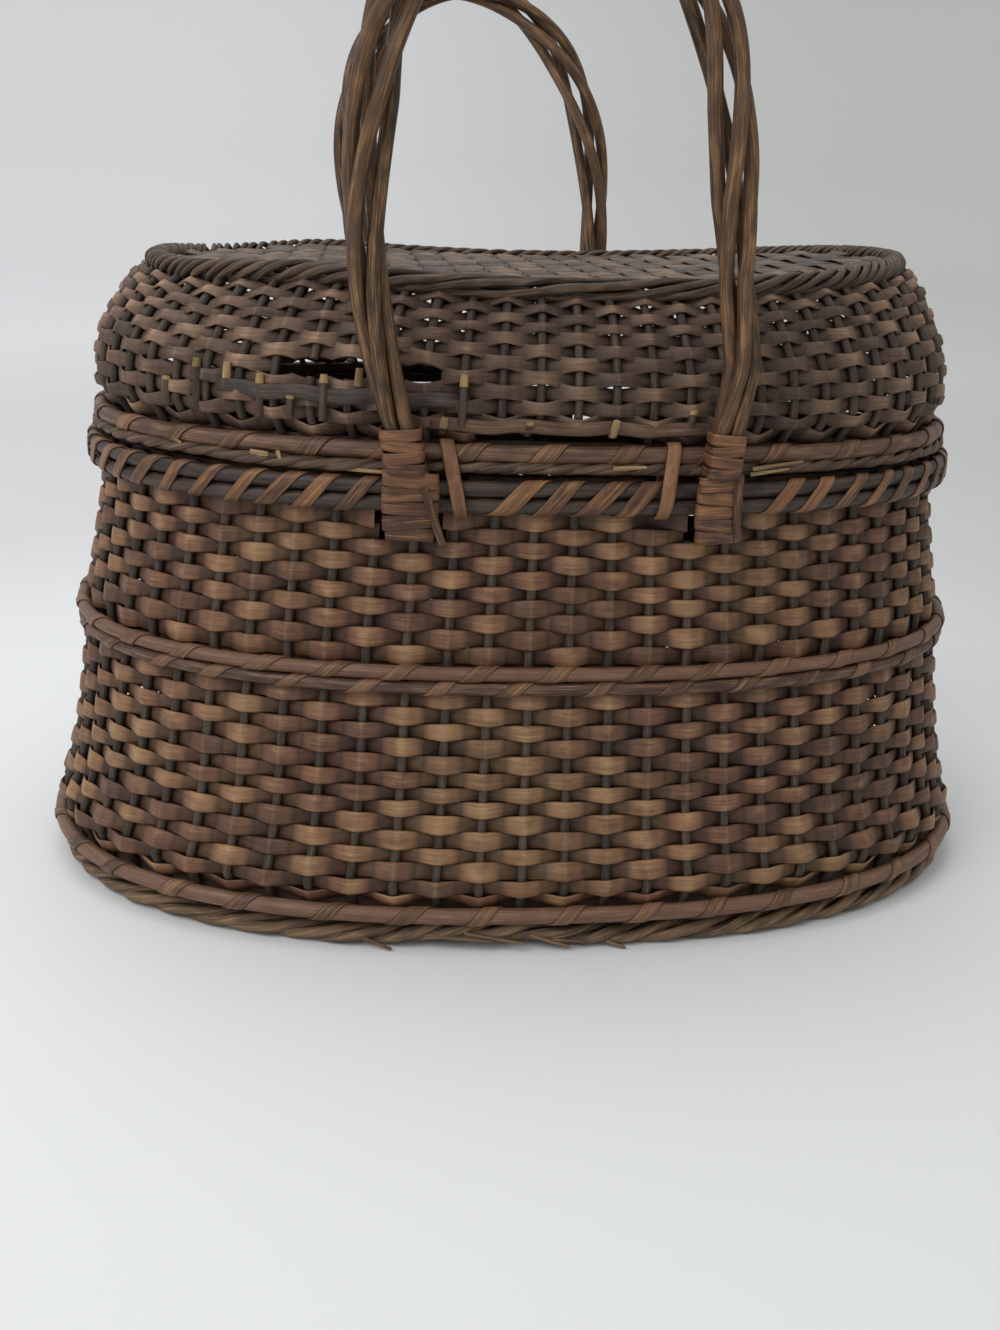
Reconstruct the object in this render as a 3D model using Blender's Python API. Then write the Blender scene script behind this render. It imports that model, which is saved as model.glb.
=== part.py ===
"""Lidded wicker basket: a woven oblong body, a hinged domed lid and two swinging twisted handles.

X runs along the long side, Y from the near side with the lid's hinge to the far side, and Z up from
the surface that the foot border stands on. Units are metres.
"""

from math import acos, atan2, cos, hypot, pi, radians, sin, tan

import bmesh
import bpy
from mathutils import Matrix, Vector

# Clearances
touching_gap = 0.0003
running_gap = 0.0005

# Plan and weave
plan_exponent = 2.4
plan_segments = 52
plan_fineness = 16
stake_half = 0.00175
weave_half = 0.0030

# Stake line of the body and the lid: height, half length and half width
lower_wall_stations = [
    (0.0080, 0.1828, 0.1190),
    (0.0176, 0.1840, 0.1202),
    (0.0195, 0.1864, 0.1224),
    (0.0240, 0.1866, 0.1228),
    (0.0320, 0.1840, 0.1212),
    (0.0440, 0.1808, 0.1191),
    (0.0600, 0.1776, 0.1172),
    (0.0780, 0.1748, 0.1155),
    (0.0930, 0.1729, 0.1134),
    (0.0949, 0.1708, 0.1120),
    (0.0998, 0.1707, 0.1110),
]
upper_wall_stations = [
    (0.1001, 0.1707, 0.1109),
    (0.1054, 0.1703, 0.1104),
    (0.1070, 0.1712, 0.1106),
    (0.1250, 0.1679, 0.1096),
    (0.1460, 0.1640, 0.1088),
    (0.1560, 0.1626, 0.1086),
    (0.1580, 0.1622, 0.1086),
    (0.1693, 0.1622, 0.1086),
]
lid_wall_stations = [
    (0.1719, 0.1588, 0.1050),
    (0.1815, 0.1588, 0.1050),
    (0.1835, 0.1613, 0.1071),
    (0.1880, 0.1633, 0.1088),
    (0.1950, 0.1634, 0.1092),
    (0.2050, 0.1619, 0.1080),
    (0.2130, 0.1588, 0.1058),
    (0.2210, 0.1547, 0.1029),
    (0.2310, 0.1495, 0.0988),
    (0.2359, 0.1452, 0.0954),
]
lower_wall_hooped_rows = (0, 1, 9, 10)
upper_wall_hooped_rows = (0, 1, 6, 7)
lid_wall_hooped_rows = (0, 1)

# Saddle of the lid's top: the middle of its long sides hangs lower than its ends
saddle_sag = 0.0097
saddle_start_height = 0.1830
saddle_exponent = 1.5

# Foot, base panel and hoops
foot_half_length = 0.1832
foot_half_width = 0.1197
foot_height = 0.0077
foot_half_band = 0.0063
foot_edge = 0.0018
base_panel_thickness = 0.0050
panel_ring_shares = (1.0, 0.5)
base_hoop_radius = 0.0030
base_hoop_height = 0.0140
waist_lower_radius = 0.00225
waist_lower_height = 0.0975
waist_upper_radius = 0.0025
waist_upper_height = 0.1026

# Rim: two rods stacked outside the wall
rim_rod_radius = 0.00265

# Lid hoop, edge border, top border and top panel
lid_hoop_radius = 0.0030
lid_edge_half_band = 0.0027
lid_edge_half_height = 0.0014
lid_edge_inset = 0.0004
top_border_radius = 0.0038
top_border_half_length = 0.1412
top_border_half_width = 0.0942
top_panel_thickness = 0.0040
top_panel_drop = 0.0008

# Handles
handle_half_span = 0.0500
handle_spread = 0.0330
handle_sway = -0.0160
handle_lean = radians(4.0)
near_handle_shift = 0.0040
far_handle_shift = -0.0040
handle_apex_height = 0.3450
handle_rod_radius = 0.00215
handle_bundle_radius = 0.00325
handle_bundle_opening = 0.0027
handle_twist_turns = 2
handle_arch_steps = 32
handle_side_gap = 0.0013

# Lashings that bind each leg above the rim
lashing_wall = 0.0008
lashing_lift = 0.0090
lashing_length = 0.0150
lashing_bands = 4
lashing_groove = 0.0004
lashing_groove_height = 0.0005
lashing_segments = 16
lashing_exponent = 4.0
leg_end_drop = 0.0008

# Loops of flattened rod and of cane that turn on the rim rods
loop_inner_radius = 0.0061
loop_thickness = 0.0013
loop_strip_width = 0.0060
loop_end_angle = radians(305)
loop_steps = 14
loop_bend_shares = ((0.30, 0.62), (0.62, 0.30))
tie_width = 0.0060
tie_thickness = 0.0012
tie_insets = (0.0110, 0.0165)
tie_arc_steps = 9
slot_margin = 0.0012
slot_floor_gap = 0.0035
pocket_depth = 0.0022
pocket_margin = 0.0009

rod_sides = 6
thick_rod_sides = 8

# Colour, roughness and metallic value of each material
reed_brown = ((0.166, 0.078, 0.037, 1.0), 0.55, 0.0)
lid_brown = ((0.087, 0.056, 0.040, 1.0), 0.55, 0.0)
cane_brown = ((0.155, 0.066, 0.034, 1.0), 0.42, 0.0)
rod_dark = ((0.028, 0.030, 0.034, 1.0), 0.50, 0.0)
willow_brown = ((0.050, 0.024, 0.016, 1.0), 0.40, 0.0)
strand_brown = ((0.090, 0.058, 0.038, 1.0), 0.60, 0.0)


def clear_scene():
    """Remove every object that the scene starts with."""
    for item in list(bpy.data.objects):
        bpy.data.objects.remove(item, do_unlink=True)


def make_material(name, finish):
    """One Principled material with the piece's own colour."""
    colour, roughness, metallic = finish
    material = bpy.data.materials.new(name)
    material.use_nodes = True
    shader = material.node_tree.nodes["Principled BSDF"]
    shader.inputs["Base Color"].default_value = colour
    shader.inputs["Roughness"].default_value = roughness
    shader.inputs["Metallic"].default_value = metallic
    material.diffuse_color = colour
    return material


def add_object(name, bm, finish, pivot=None):
    """Turn a closed bmesh into an object; a moving piece hangs on its pivot empty."""
    bmesh.ops.recalc_face_normals(bm, faces=bm.faces)
    mesh = bpy.data.meshes.new(name)
    bm.to_mesh(mesh)
    bm.free()
    mesh.shade_smooth()
    mesh.set_sharp_from_angle(angle=radians(40))
    mesh.materials.append(make_material(name + "_material", finish))
    item = bpy.data.objects.new(name, mesh)
    bpy.context.scene.collection.objects.link(item)
    if pivot is not None:
        mesh.transform(Matrix.Translation(-pivot.matrix_world.translation))
        item.parent = pivot
    return item


def add_pivot(name, location):
    """An empty on a joint's axis, which carries the pieces that turn with it."""
    pivot = bpy.data.objects.new(name, None)
    pivot.location = location
    bpy.context.scene.collection.objects.link(pivot)
    bpy.context.view_layer.update()
    return pivot


def plan_y(half_length, half_width, x):
    """How far the plan outline lies from the X axis at a place along it."""
    share = max(0.0, 1.0 - abs(x / half_length) ** plan_exponent)
    return half_width * share ** (1.0 / plan_exponent)


def plan_outline(half_length, half_width):
    """Points and outward normals spaced evenly round the plan."""
    fine = plan_segments * plan_fineness
    dense = []
    for index in range(fine + 1):
        turn = 2 * pi * index / fine
        x = abs(cos(turn)) ** (2 / plan_exponent) * half_length * (1 if cos(turn) >= 0 else -1)
        y = abs(sin(turn)) ** (2 / plan_exponent) * half_width * (1 if sin(turn) >= 0 else -1)
        dense.append(Vector((x, y)))
    travelled = [0.0]
    for start, end in zip(dense, dense[1:]):
        travelled.append(travelled[-1] + (end - start).length)
    outline = []
    walk = 0
    for index in range(plan_segments):
        target = travelled[-1] * index / plan_segments
        while travelled[walk + 1] < target:
            walk += 1
        span = travelled[walk + 1] - travelled[walk]
        point = dense[walk].lerp(dense[walk + 1], (target - travelled[walk]) / span)
        slope_x = abs(point.x / half_length) ** (plan_exponent - 1) / half_length
        slope_y = abs(point.y / half_width) ** (plan_exponent - 1) / half_width
        normal = Vector((slope_x if point.x >= 0 else -slope_x, slope_y if point.y >= 0 else -slope_y))
        outline.append((point, normal.normalized()))
    return outline


def saddle_height(height, x, top_height, half_length):
    """Height on the lid once the long sides' middles have sunk."""
    rise_share = max(0.0, (height - saddle_start_height) / (top_height - saddle_start_height))
    middle_share = 1.0 - min(1.0, abs(x) / half_length) ** 2
    return height - saddle_sag * rise_share ** saddle_exponent * middle_share


def top_saddle(height, x):
    """The saddle in full, as the lid's top border and panel follow it."""
    middle_share = 1.0 - min(1.0, abs(x) / lid_wall_stations[-1][1]) ** 2
    return height - saddle_sag * middle_share


def bridge(bm, rings, closed):
    """Join rings of vertices with faces, and the last ring to the first if closed."""
    pairs = list(zip(rings, rings[1:]))
    if closed:
        pairs.append((rings[-1], rings[0]))
    for low, high in pairs:
        count = len(low)
        for index in range(count):
            after = (index + 1) % count
            bm.faces.new((low[index], low[after], high[after], high[index]))


def ring_body(name, section, finish, pivot=None, lift=None):
    """A closed ring round the plan; each section corner is half length, half width, offset, height."""
    bm = bmesh.new()
    rings = []
    for half_length, half_width, offset, height in section:
        ring = []
        for point, normal in plan_outline(half_length, half_width):
            place = point + normal * offset
            level = lift(height, place.x) if lift else height
            ring.append(bm.verts.new((place.x, place.y, level)))
        rings.append(ring)
    bridge(bm, rings, closed=True)
    return add_object(name, bm, finish, pivot)


def rod_section(half_length, half_width, height, radius, sides):
    """Corners of a round rod that runs round the plan."""
    corners = []
    for index in range(sides):
        angle = 2 * pi * (index + 0.5) / sides
        corners.append((half_length, half_width, radius * cos(angle), height + radius * sin(angle)))
    return corners


def wall_section(stations, hooped_rows):
    """Corners of a woven wall: outer face upwards, then inner face downwards."""
    outer = []
    for row, (height, half_length, half_width) in enumerate(stations):
        offset = stake_half if row in hooped_rows else weave_half
        outer.append((half_length, half_width, offset, height))
    inner = []
    for row, (height, half_length, half_width) in enumerate(stations):
        if row in hooped_rows and row not in (0, len(stations) - 1):
            continue
        inner.append((half_length, half_width, -weave_half, height))
    return outer + inner[::-1]


def disc_body(name, half_length, half_width, low, thickness, finish, pivot=None, lift=None):
    """A closed flat or saddled panel with the plan's outline."""
    bm = bmesh.new()
    edges = []
    for level in (low, low + thickness):
        rings = []
        for share in panel_ring_shares:
            ring = []
            for point, _ in plan_outline(half_length, half_width):
                place = point * share
                height = lift(level, place.x) if lift else level
                ring.append(bm.verts.new((place.x, place.y, height)))
            rings.append(ring)
        middle = bm.verts.new((0, 0, lift(level, 0) if lift else level))
        bridge(bm, rings, closed=False)
        for index in range(plan_segments):
            bm.faces.new((rings[-1][index], rings[-1][(index + 1) % plan_segments], middle))
        edges.append(rings[0])
    bridge(bm, edges, closed=False)
    return add_object(name, bm, finish, pivot)


def sweep_body(name, stops, finish, pivot):
    """A rod or strip along stops of place, width direction, half width and half thickness."""
    bm = bmesh.new()
    rings = []
    for index, (place, across, half_width, half_thickness) in enumerate(stops):
        before = stops[max(0, index - 1)][0]
        after = stops[min(len(stops) - 1, index + 1)][0]
        along = (after - before).normalized()
        side = (across - along * across.dot(along)).normalized()
        out = along.cross(side)
        ring = []
        for corner in range(rod_sides):
            angle = 2 * pi * corner / rod_sides
            reach = side * (half_width * cos(angle)) + out * (half_thickness * sin(angle) / sin(pi / 3))
            ring.append(bm.verts.new(place + reach))
        rings.append(ring)
    bridge(bm, rings, closed=False)
    bm.faces.new(rings[0][::-1])
    bm.faces.new(rings[-1])
    return add_object(name, bm, finish, pivot)


def cut_boxes(item, boxes):
    """Cut axis-aligned boxes, each given by its low and high corners, out of a piece."""
    bm = bmesh.new()
    for low, high in boxes:
        corners = bmesh.ops.create_cube(bm, size=1.0)["verts"]
        middle = (low + high) / 2
        for vert in corners:
            vert.co = Vector(tuple(vert.co[axis] * (high - low)[axis] + middle[axis] for axis in range(3)))
    mesh = bpy.data.meshes.new(item.name + "_cutter")
    bm.to_mesh(mesh)
    bm.free()
    cutter = bpy.data.objects.new(item.name + "_cutter", mesh)
    bpy.context.scene.collection.objects.link(cutter)
    cutter.hide_render = True
    cutter.display_type = "WIRE"
    cut = item.modifiers.new("loop_slots", "BOOLEAN")
    cut.operation = "DIFFERENCE"
    cut.solver = "EXACT"
    cut.use_self = True
    cut.object = cutter
    return cutter


# Sizes that follow from the driving ones
rim_centre_height = upper_wall_stations[-1][0] - 2 * rim_rod_radius
rim_stake_half_length = upper_wall_stations[-1][1]
rim_stake_half_width = upper_wall_stations[-1][2]
rim_rod_offset = stake_half + touching_gap + rim_rod_radius
rim_rod_half_length = rim_stake_half_length + rim_rod_offset
rim_rod_half_width = rim_stake_half_width + rim_rod_offset
axis_reach = plan_y(rim_rod_half_length, rim_rod_half_width, handle_half_span)
loop_outer_radius = loop_inner_radius + loop_thickness
lid_hoop_height = lid_wall_stations[1][0] - lid_hoop_radius - running_gap
lid_hoop_offset = stake_half + touching_gap + lid_hoop_radius
lid_hoop_half_length = lid_wall_stations[0][1] + lid_hoop_offset
lid_hoop_half_width = lid_wall_stations[0][2] + lid_hoop_offset
lid_edge_height = lid_hoop_height - lid_hoop_radius - touching_gap - lid_edge_half_height
top_border_height = lid_wall_stations[-1][0] + touching_gap + top_border_radius
leg_pair_offset = handle_bundle_radius / 2 ** 0.5
bundle_half = leg_pair_offset + handle_rod_radius
lashing_inner_half = bundle_half + touching_gap
lashing_outer_half = lashing_inner_half + lashing_wall
leg_reach = handle_side_gap + lashing_outer_half
lashing_low_height = rim_centre_height + lashing_lift
lashing_high_height = lashing_low_height + lashing_length
leg_end_height = lashing_low_height - leg_end_drop
handle_rise = handle_apex_height - lashing_high_height
pocket_top_height = lid_hoop_height + lid_hoop_radius + running_gap + tie_thickness + pocket_margin
tie_places = (near_handle_shift - handle_half_span + tie_insets[0],
              near_handle_shift + handle_half_span - tie_insets[1])


def build_base(pieces):
    """Foot border, base panel, base hoop and the lower wall that stands on them."""
    low = foot_edge
    high = foot_height - foot_edge
    band = foot_half_band
    flat = foot_half_band - foot_edge
    corners = [(flat, 0), (band, low), (band, high), (flat, foot_height),
               (-flat, foot_height), (-band, high), (-band, low), (-flat, 0)]
    section = [(foot_half_length, foot_half_width, offset, height) for offset, height in corners]
    pieces["foot_border"] = ring_body("foot_border", section, strand_brown)
    base_low, base_half_length, base_half_width = lower_wall_stations[0]
    inset = weave_half + touching_gap
    pieces["base_panel"] = disc_body("base_panel", base_half_length - inset, base_half_width - inset,
                                     base_low, base_panel_thickness, reed_brown)
    hoop_offset = stake_half + touching_gap + base_hoop_radius
    hoop = rod_section(lower_wall_stations[1][1] - touching_gap + hoop_offset,
                       lower_wall_stations[1][2] - touching_gap + hoop_offset,
                       base_hoop_height, base_hoop_radius, thick_rod_sides)
    pieces["base_hoop"] = ring_body("base_hoop", hoop, cane_brown)
    wall = wall_section(lower_wall_stations, lower_wall_hooped_rows)
    pieces["lower_wall"] = ring_body("lower_wall", wall, reed_brown)


def build_upper_body(pieces):
    """Waist hoops, the upper wall and the two rim rods."""
    waist = (("waist_hoop_lower", lower_wall_stations[-2], waist_lower_height, waist_lower_radius),
             ("waist_hoop_upper", upper_wall_stations[0], waist_upper_height, waist_upper_radius))
    for name, (_, half_length, half_width), height, radius in waist:
        offset = stake_half + touching_gap + radius
        hoop = rod_section(half_length + offset, half_width + offset, height, radius, rod_sides)
        pieces[name] = ring_body(name, hoop, cane_brown)
    wall = wall_section(upper_wall_stations, upper_wall_hooped_rows)
    pieces["upper_wall"] = ring_body("upper_wall", wall, reed_brown)
    stack = rim_rod_radius + touching_gap / 2
    for name, side in (("rim_rod_lower", -1), ("rim_rod_upper", 1)):
        rod = rod_section(rim_rod_half_length, rim_rod_half_width, rim_centre_height + side * stack,
                          rim_rod_radius, rod_sides)
        pieces[name] = ring_body(name, rod, rod_dark)


def build_lid(pieces, pivot):
    """Lid wall, hoop, edge border, top border and top panel, all on the lid's hinge."""
    top_height = lid_wall_stations[-1][0]
    top_half_length = lid_wall_stations[-1][1]

    def wall_lift(height, x):
        return saddle_height(height, x, top_height, top_half_length)

    wall = wall_section(lid_wall_stations, lid_wall_hooped_rows)
    pieces["lid_wall"] = ring_body("lid_wall", wall, lid_brown, pivot, wall_lift)
    hoop = rod_section(lid_hoop_half_length, lid_hoop_half_width, lid_hoop_height, lid_hoop_radius,
                       thick_rod_sides)
    pieces["lid_hoop"] = ring_body("lid_hoop", hoop, cane_brown, pivot)
    edge = []
    for index in range(rod_sides):
        angle = 2 * pi * index / rod_sides
        edge.append((lid_hoop_half_length - lid_edge_inset, lid_hoop_half_width - lid_edge_inset,
                     lid_edge_half_band * cos(angle), lid_edge_height + lid_edge_half_height * sin(angle)))
    pieces["lid_edge_border"] = ring_body("lid_edge_border", edge, strand_brown, pivot)
    border = rod_section(top_border_half_length, top_border_half_width, top_border_height,
                         top_border_radius, thick_rod_sides)
    pieces["lid_top_border"] = ring_body("lid_top_border", border, strand_brown, pivot, top_saddle)
    inset = top_border_radius + touching_gap
    panel_low = top_border_height + top_border_radius - top_panel_drop - top_panel_thickness
    pieces["lid_top_panel"] = disc_body("lid_top_panel", top_border_half_length - inset,
                                        top_border_half_width - inset, panel_low, top_panel_thickness,
                                        lid_brown, pivot, top_saddle)


def handle_stops(leg_x_shift, side, rod, pivot_y):
    """Stops of one twisted rod, from the left leg's foot over the arch to the right leg's foot."""
    outward = Vector((0, side, 0))
    start_angle = pi / 4 + rod * pi / 2
    wraps_rim = sin(start_angle) > 0
    radius = handle_rod_radius
    leg_y = pivot_y + side * leg_reach

    def bundle_place(centre, normal, angle, spread):
        return centre + (normal * cos(angle) + outward * sin(angle)) * spread

    stops = []
    for step in range(handle_arch_steps + 1):
        turn = pi * step / handle_arch_steps
        share = step / handle_arch_steps
        x = leg_x_shift - cos(turn) * (handle_half_span + handle_spread * sin(turn)) + handle_sway * sin(turn)
        height = lashing_high_height + handle_rise * sin(turn)
        lean = side * tan(handle_lean) * (height - lashing_high_height)
        centre = Vector((x, leg_y + lean, height))
        slope_x = sin(turn) * (handle_half_span + handle_spread * sin(turn))
        slope_x += (handle_sway - cos(turn) * handle_spread) * cos(turn)
        slope_z = handle_rise * cos(turn)
        normal = Vector((-slope_z, 0, slope_x)).normalized()
        if step in (0, handle_arch_steps):
            normal = Vector((-1 if step == 0 else 1, 0, 0))
        spread = handle_bundle_radius + handle_bundle_opening * sin(2 * pi * share) ** 2
        angle = start_angle + 2 * pi * handle_twist_turns * share
        stops.append((bundle_place(centre, normal, angle, spread), normal, radius, radius * sin(pi / 3)))

    def leg_foot(leg_side):
        """Stops below the arch, from the lashing's top down, for one leg."""
        normal = Vector((leg_side, 0, 0))
        leg_x = leg_x_shift + leg_side * handle_half_span
        centre = Vector((leg_x, leg_y, 0))
        place = bundle_place(centre, normal, start_angle, handle_bundle_radius)
        half_thickness = radius * sin(pi / 3)
        foot = []
        if not wraps_rim:
            for height in ((lashing_low_height + lashing_high_height) / 2, leg_end_height):
                foot.append((Vector((place.x, place.y, height)), normal, radius, half_thickness))
            return foot
        for height in ((lashing_low_height + lashing_high_height) / 2, lashing_low_height):
            foot.append((Vector((place.x, place.y, height)), normal, radius, half_thickness))
        strip_half = loop_strip_width / 2
        strip_side = 1 if place.x > leg_x else -1
        strip_x = leg_x + strip_side * (strip_half + touching_gap / 2)
        ring_radius = loop_inner_radius + loop_thickness / 2
        thin = loop_thickness / 2
        front = pivot_y + side * ring_radius
        for drop_share, rise_share in loop_bend_shares:
            height = rim_centre_height + (lashing_low_height - rim_centre_height) * rise_share
            y = place.y + (front - place.y) * drop_share
            half = radius + (strip_half - radius) * drop_share
            depth = half_thickness + (thin - half_thickness) * drop_share
            x = place.x + (strip_x - place.x) * drop_share
            foot.append((Vector((x, y, height)), normal, half, depth))
        for step in range(loop_steps + 1):
            angle = loop_end_angle * step / loop_steps
            y = pivot_y + side * ring_radius * cos(angle)
            height = rim_centre_height - ring_radius * sin(angle)
            foot.append((Vector((strip_x, y, height)), normal, strip_half, thin))
        return foot

    return leg_foot(-1)[::-1] + stops + leg_foot(1)


def lashing_body(name, leg_x, leg_y, pivot):
    """Flat cane wound in bands round the four rods of one leg."""
    bm = bmesh.new()
    band_height = (lashing_high_height - lashing_low_height) / lashing_bands
    levels = []
    for band in range(lashing_bands):
        low = lashing_low_height + band * band_height
        levels.append((lashing_outer_half, low))
        levels.append((lashing_outer_half, low + band_height - lashing_groove_height))
        if band < lashing_bands - 1:
            levels.append((lashing_outer_half - lashing_groove, low + band_height - lashing_groove_height / 2))
    levels += [(lashing_inner_half, levels[-1][1]), (lashing_inner_half, lashing_low_height)]
    rings = []
    for half, height in levels:
        ring = []
        for index in range(lashing_segments):
            turn = 2 * pi * index / lashing_segments
            power = 2 / lashing_exponent
            x = abs(cos(turn)) ** power * half * (1 if cos(turn) >= 0 else -1)
            y = abs(sin(turn)) ** power * half * (1 if sin(turn) >= 0 else -1)
            ring.append(bm.verts.new((leg_x + x, leg_y + y, height)))
        rings.append(ring)
    bridge(bm, rings, closed=True)
    return add_object(name, bm, cane_brown, pivot)


def build_handle(pieces, prefix, side, shift, pivot):
    """Four twisted rods, two of which turn round the rim rods, and a lashing on each leg."""
    pivot_y = pivot.matrix_world.translation.y
    for rod in range(4):
        name = prefix + "_handle_rod_" + str(rod + 1)
        pieces[name] = sweep_body(name, handle_stops(shift, side, rod, pivot_y), willow_brown, pivot)
    for label, leg_side in (("left", -1), ("right", 1)):
        name = prefix + "_lashing_" + label
        pieces[name] = lashing_body(name, shift + leg_side * handle_half_span,
                                    pivot_y + side * leg_reach, pivot)


def tie_body(name, x, pivot):
    """A cane loop round the lid hoop and the rim rods, which is the lid's hinge."""
    rim = pivot.matrix_world.translation
    hoop_y = -plan_y(lid_hoop_half_length, lid_hoop_half_width, x)
    hoop_inner = lid_hoop_radius + running_gap
    run_y = hoop_y - rim.y
    run_z = lid_hoop_height - rim.z
    heading = atan2(run_z, run_y)
    half_open = acos((loop_inner_radius - hoop_inner) / hypot(run_y, run_z))
    path = []
    for step in range(tie_arc_steps + 1):
        angle = heading + half_open + (2 * pi - 2 * half_open) * step / tie_arc_steps
        path.append((rim.y, rim.z, loop_inner_radius, angle))
    for step in range(tie_arc_steps + 1):
        angle = heading - half_open + 2 * half_open * step / tie_arc_steps
        path.append((hoop_y, lid_hoop_height, hoop_inner, angle))
    bm = bmesh.new()
    corners = ((-1, 0), (1, 0), (1, tie_thickness), (-1, tie_thickness))
    rings = []
    for side, depth in corners:
        ring = []
        for centre_y, centre_z, radius, angle in path:
            reach = radius + depth
            ring.append(bm.verts.new((x + side * tie_width / 2, centre_y + reach * cos(angle),
                                      centre_z + reach * sin(angle))))
        rings.append(ring)
    bridge(bm, rings, closed=True)
    return add_object(name, bm, cane_brown, pivot)


def slot_boxes():
    """Slots in the wall's top edge, one for each loop that passes behind the rim rods."""
    floor = rim_centre_height - loop_outer_radius - slot_floor_gap
    top = upper_wall_stations[-1][0] + weave_half
    near = rim_stake_half_width + weave_half + stake_half
    far = near - 4 * (weave_half + stake_half)
    loop_half = loop_strip_width + touching_gap / 2 + slot_margin
    places = [(tie, tie_width / 2 + slot_margin, -1) for tie in tie_places]
    for shift, side in ((near_handle_shift, -1), (far_handle_shift, 1)):
        places += [(shift + leg_side * handle_half_span, loop_half, side) for leg_side in (-1, 1)]
    boxes = []
    for x, half, side in places:
        inner, outer = sorted((side * far, side * near))
        boxes.append((Vector((x - half, inner, floor)), Vector((x + half, outer, top))))
    return boxes


def pocket_boxes():
    """Pockets in the lid wall's outer face behind the two hinge ties."""
    boxes = []
    for x in tie_places:
        face = plan_y(lid_wall_stations[0][1], lid_wall_stations[0][2], x) + stake_half
        half = tie_width / 2 + slot_margin
        low = lid_wall_stations[0][0] - running_gap
        boxes.append((Vector((x - half, -face - 2 * weave_half, low)),
                      Vector((x + half, -face + pocket_depth, pocket_top_height))))
    return boxes


def build_basket():
    """Build every piece of the basket."""
    clear_scene()
    pieces = {}
    build_base(pieces)
    build_upper_body(pieces)
    cut_boxes(pieces["upper_wall"], slot_boxes())
    lid_pivot = add_pivot("lid_pivot", (0, -axis_reach, rim_centre_height))
    far_pivot = add_pivot("far_handle_pivot", (0, axis_reach, rim_centre_height))
    near_pivot = add_pivot("near_handle_pivot", (0, 0, 0))
    near_pivot.parent = lid_pivot
    bpy.context.view_layer.update()
    build_lid(pieces, lid_pivot)
    cutter = cut_boxes(pieces["lid_wall"], pocket_boxes())
    cutter.parent = lid_pivot
    cutter.matrix_parent_inverse = lid_pivot.matrix_world.inverted()
    for label, x in zip(("left", "right"), tie_places):
        name = "hinge_tie_" + label
        pieces[name] = tie_body(name, x, lid_pivot)
    build_handle(pieces, "near", -1, near_handle_shift, near_pivot)
    build_handle(pieces, "far", 1, far_handle_shift, far_pivot)


build_basket()
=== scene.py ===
"""Looks of the lidded wicker basket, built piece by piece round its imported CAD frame."""
from math import cos, pi, radians

import bmesh
import bpy
import numpy as np
from mathutils import Matrix, Vector


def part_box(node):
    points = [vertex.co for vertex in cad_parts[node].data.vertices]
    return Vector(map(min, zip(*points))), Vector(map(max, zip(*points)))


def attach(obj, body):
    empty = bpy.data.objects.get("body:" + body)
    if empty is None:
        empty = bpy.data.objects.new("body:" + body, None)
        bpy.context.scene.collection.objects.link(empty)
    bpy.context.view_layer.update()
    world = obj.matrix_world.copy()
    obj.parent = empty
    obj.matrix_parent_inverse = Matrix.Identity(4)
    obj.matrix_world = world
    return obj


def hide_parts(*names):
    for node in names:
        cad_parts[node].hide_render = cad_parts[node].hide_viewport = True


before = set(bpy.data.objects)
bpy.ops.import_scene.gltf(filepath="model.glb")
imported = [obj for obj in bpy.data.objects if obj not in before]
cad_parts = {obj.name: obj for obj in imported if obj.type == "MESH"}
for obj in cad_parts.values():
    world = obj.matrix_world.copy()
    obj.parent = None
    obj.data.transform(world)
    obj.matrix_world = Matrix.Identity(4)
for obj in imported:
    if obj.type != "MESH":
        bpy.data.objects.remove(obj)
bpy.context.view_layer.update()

# The studio: a pale round sweep that the basket stands on, soft light from high on the left, and the
# camera where the photographer stood, a little above the lid and left of the middle. The paper's colour
# holds painted light and shade: darker in a ring at middle distance and towards the right, lighter on
# the far wall.

sweep_profile = [(1.0, 0.0), (2.2, 0.0), (2.8, 0.06), (3.2, 0.30), (3.45, 0.80), (3.5, 1.9)]
sweep_sides = 96
paper_near, paper_middle = (0.79, 0.80, 0.805, 1), (0.645, 0.645, 0.65, 1)
paper_far, paper_right_shaded = (0.84, 0.84, 0.85, 1), (0.74, 0.75, 0.715, 1)
first_fade, second_fade, right_shade_fade = (0.22, 0.62), (0.9, 2.2), (-0.6, 1.3)
sky_colour, sky_strength = (0.97, 0.985, 1.0, 1), 0.78
lamps = {"key_light": ((-1.3, -1.2, 1.8), 1.3, 21), "top_light": ((-0.3, 0.5, 2.0), 1.6, 10)}
lamp_target = Vector((0, 0, 0.12))
camera_place, camera_lens, sensor_width, camera_reach = (-0.0655, -0.5653, 0.2627), 37.76, 36, 50
camera_turn, camera_dip, camera_roll = -6.10, 19.08, 2.02


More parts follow.
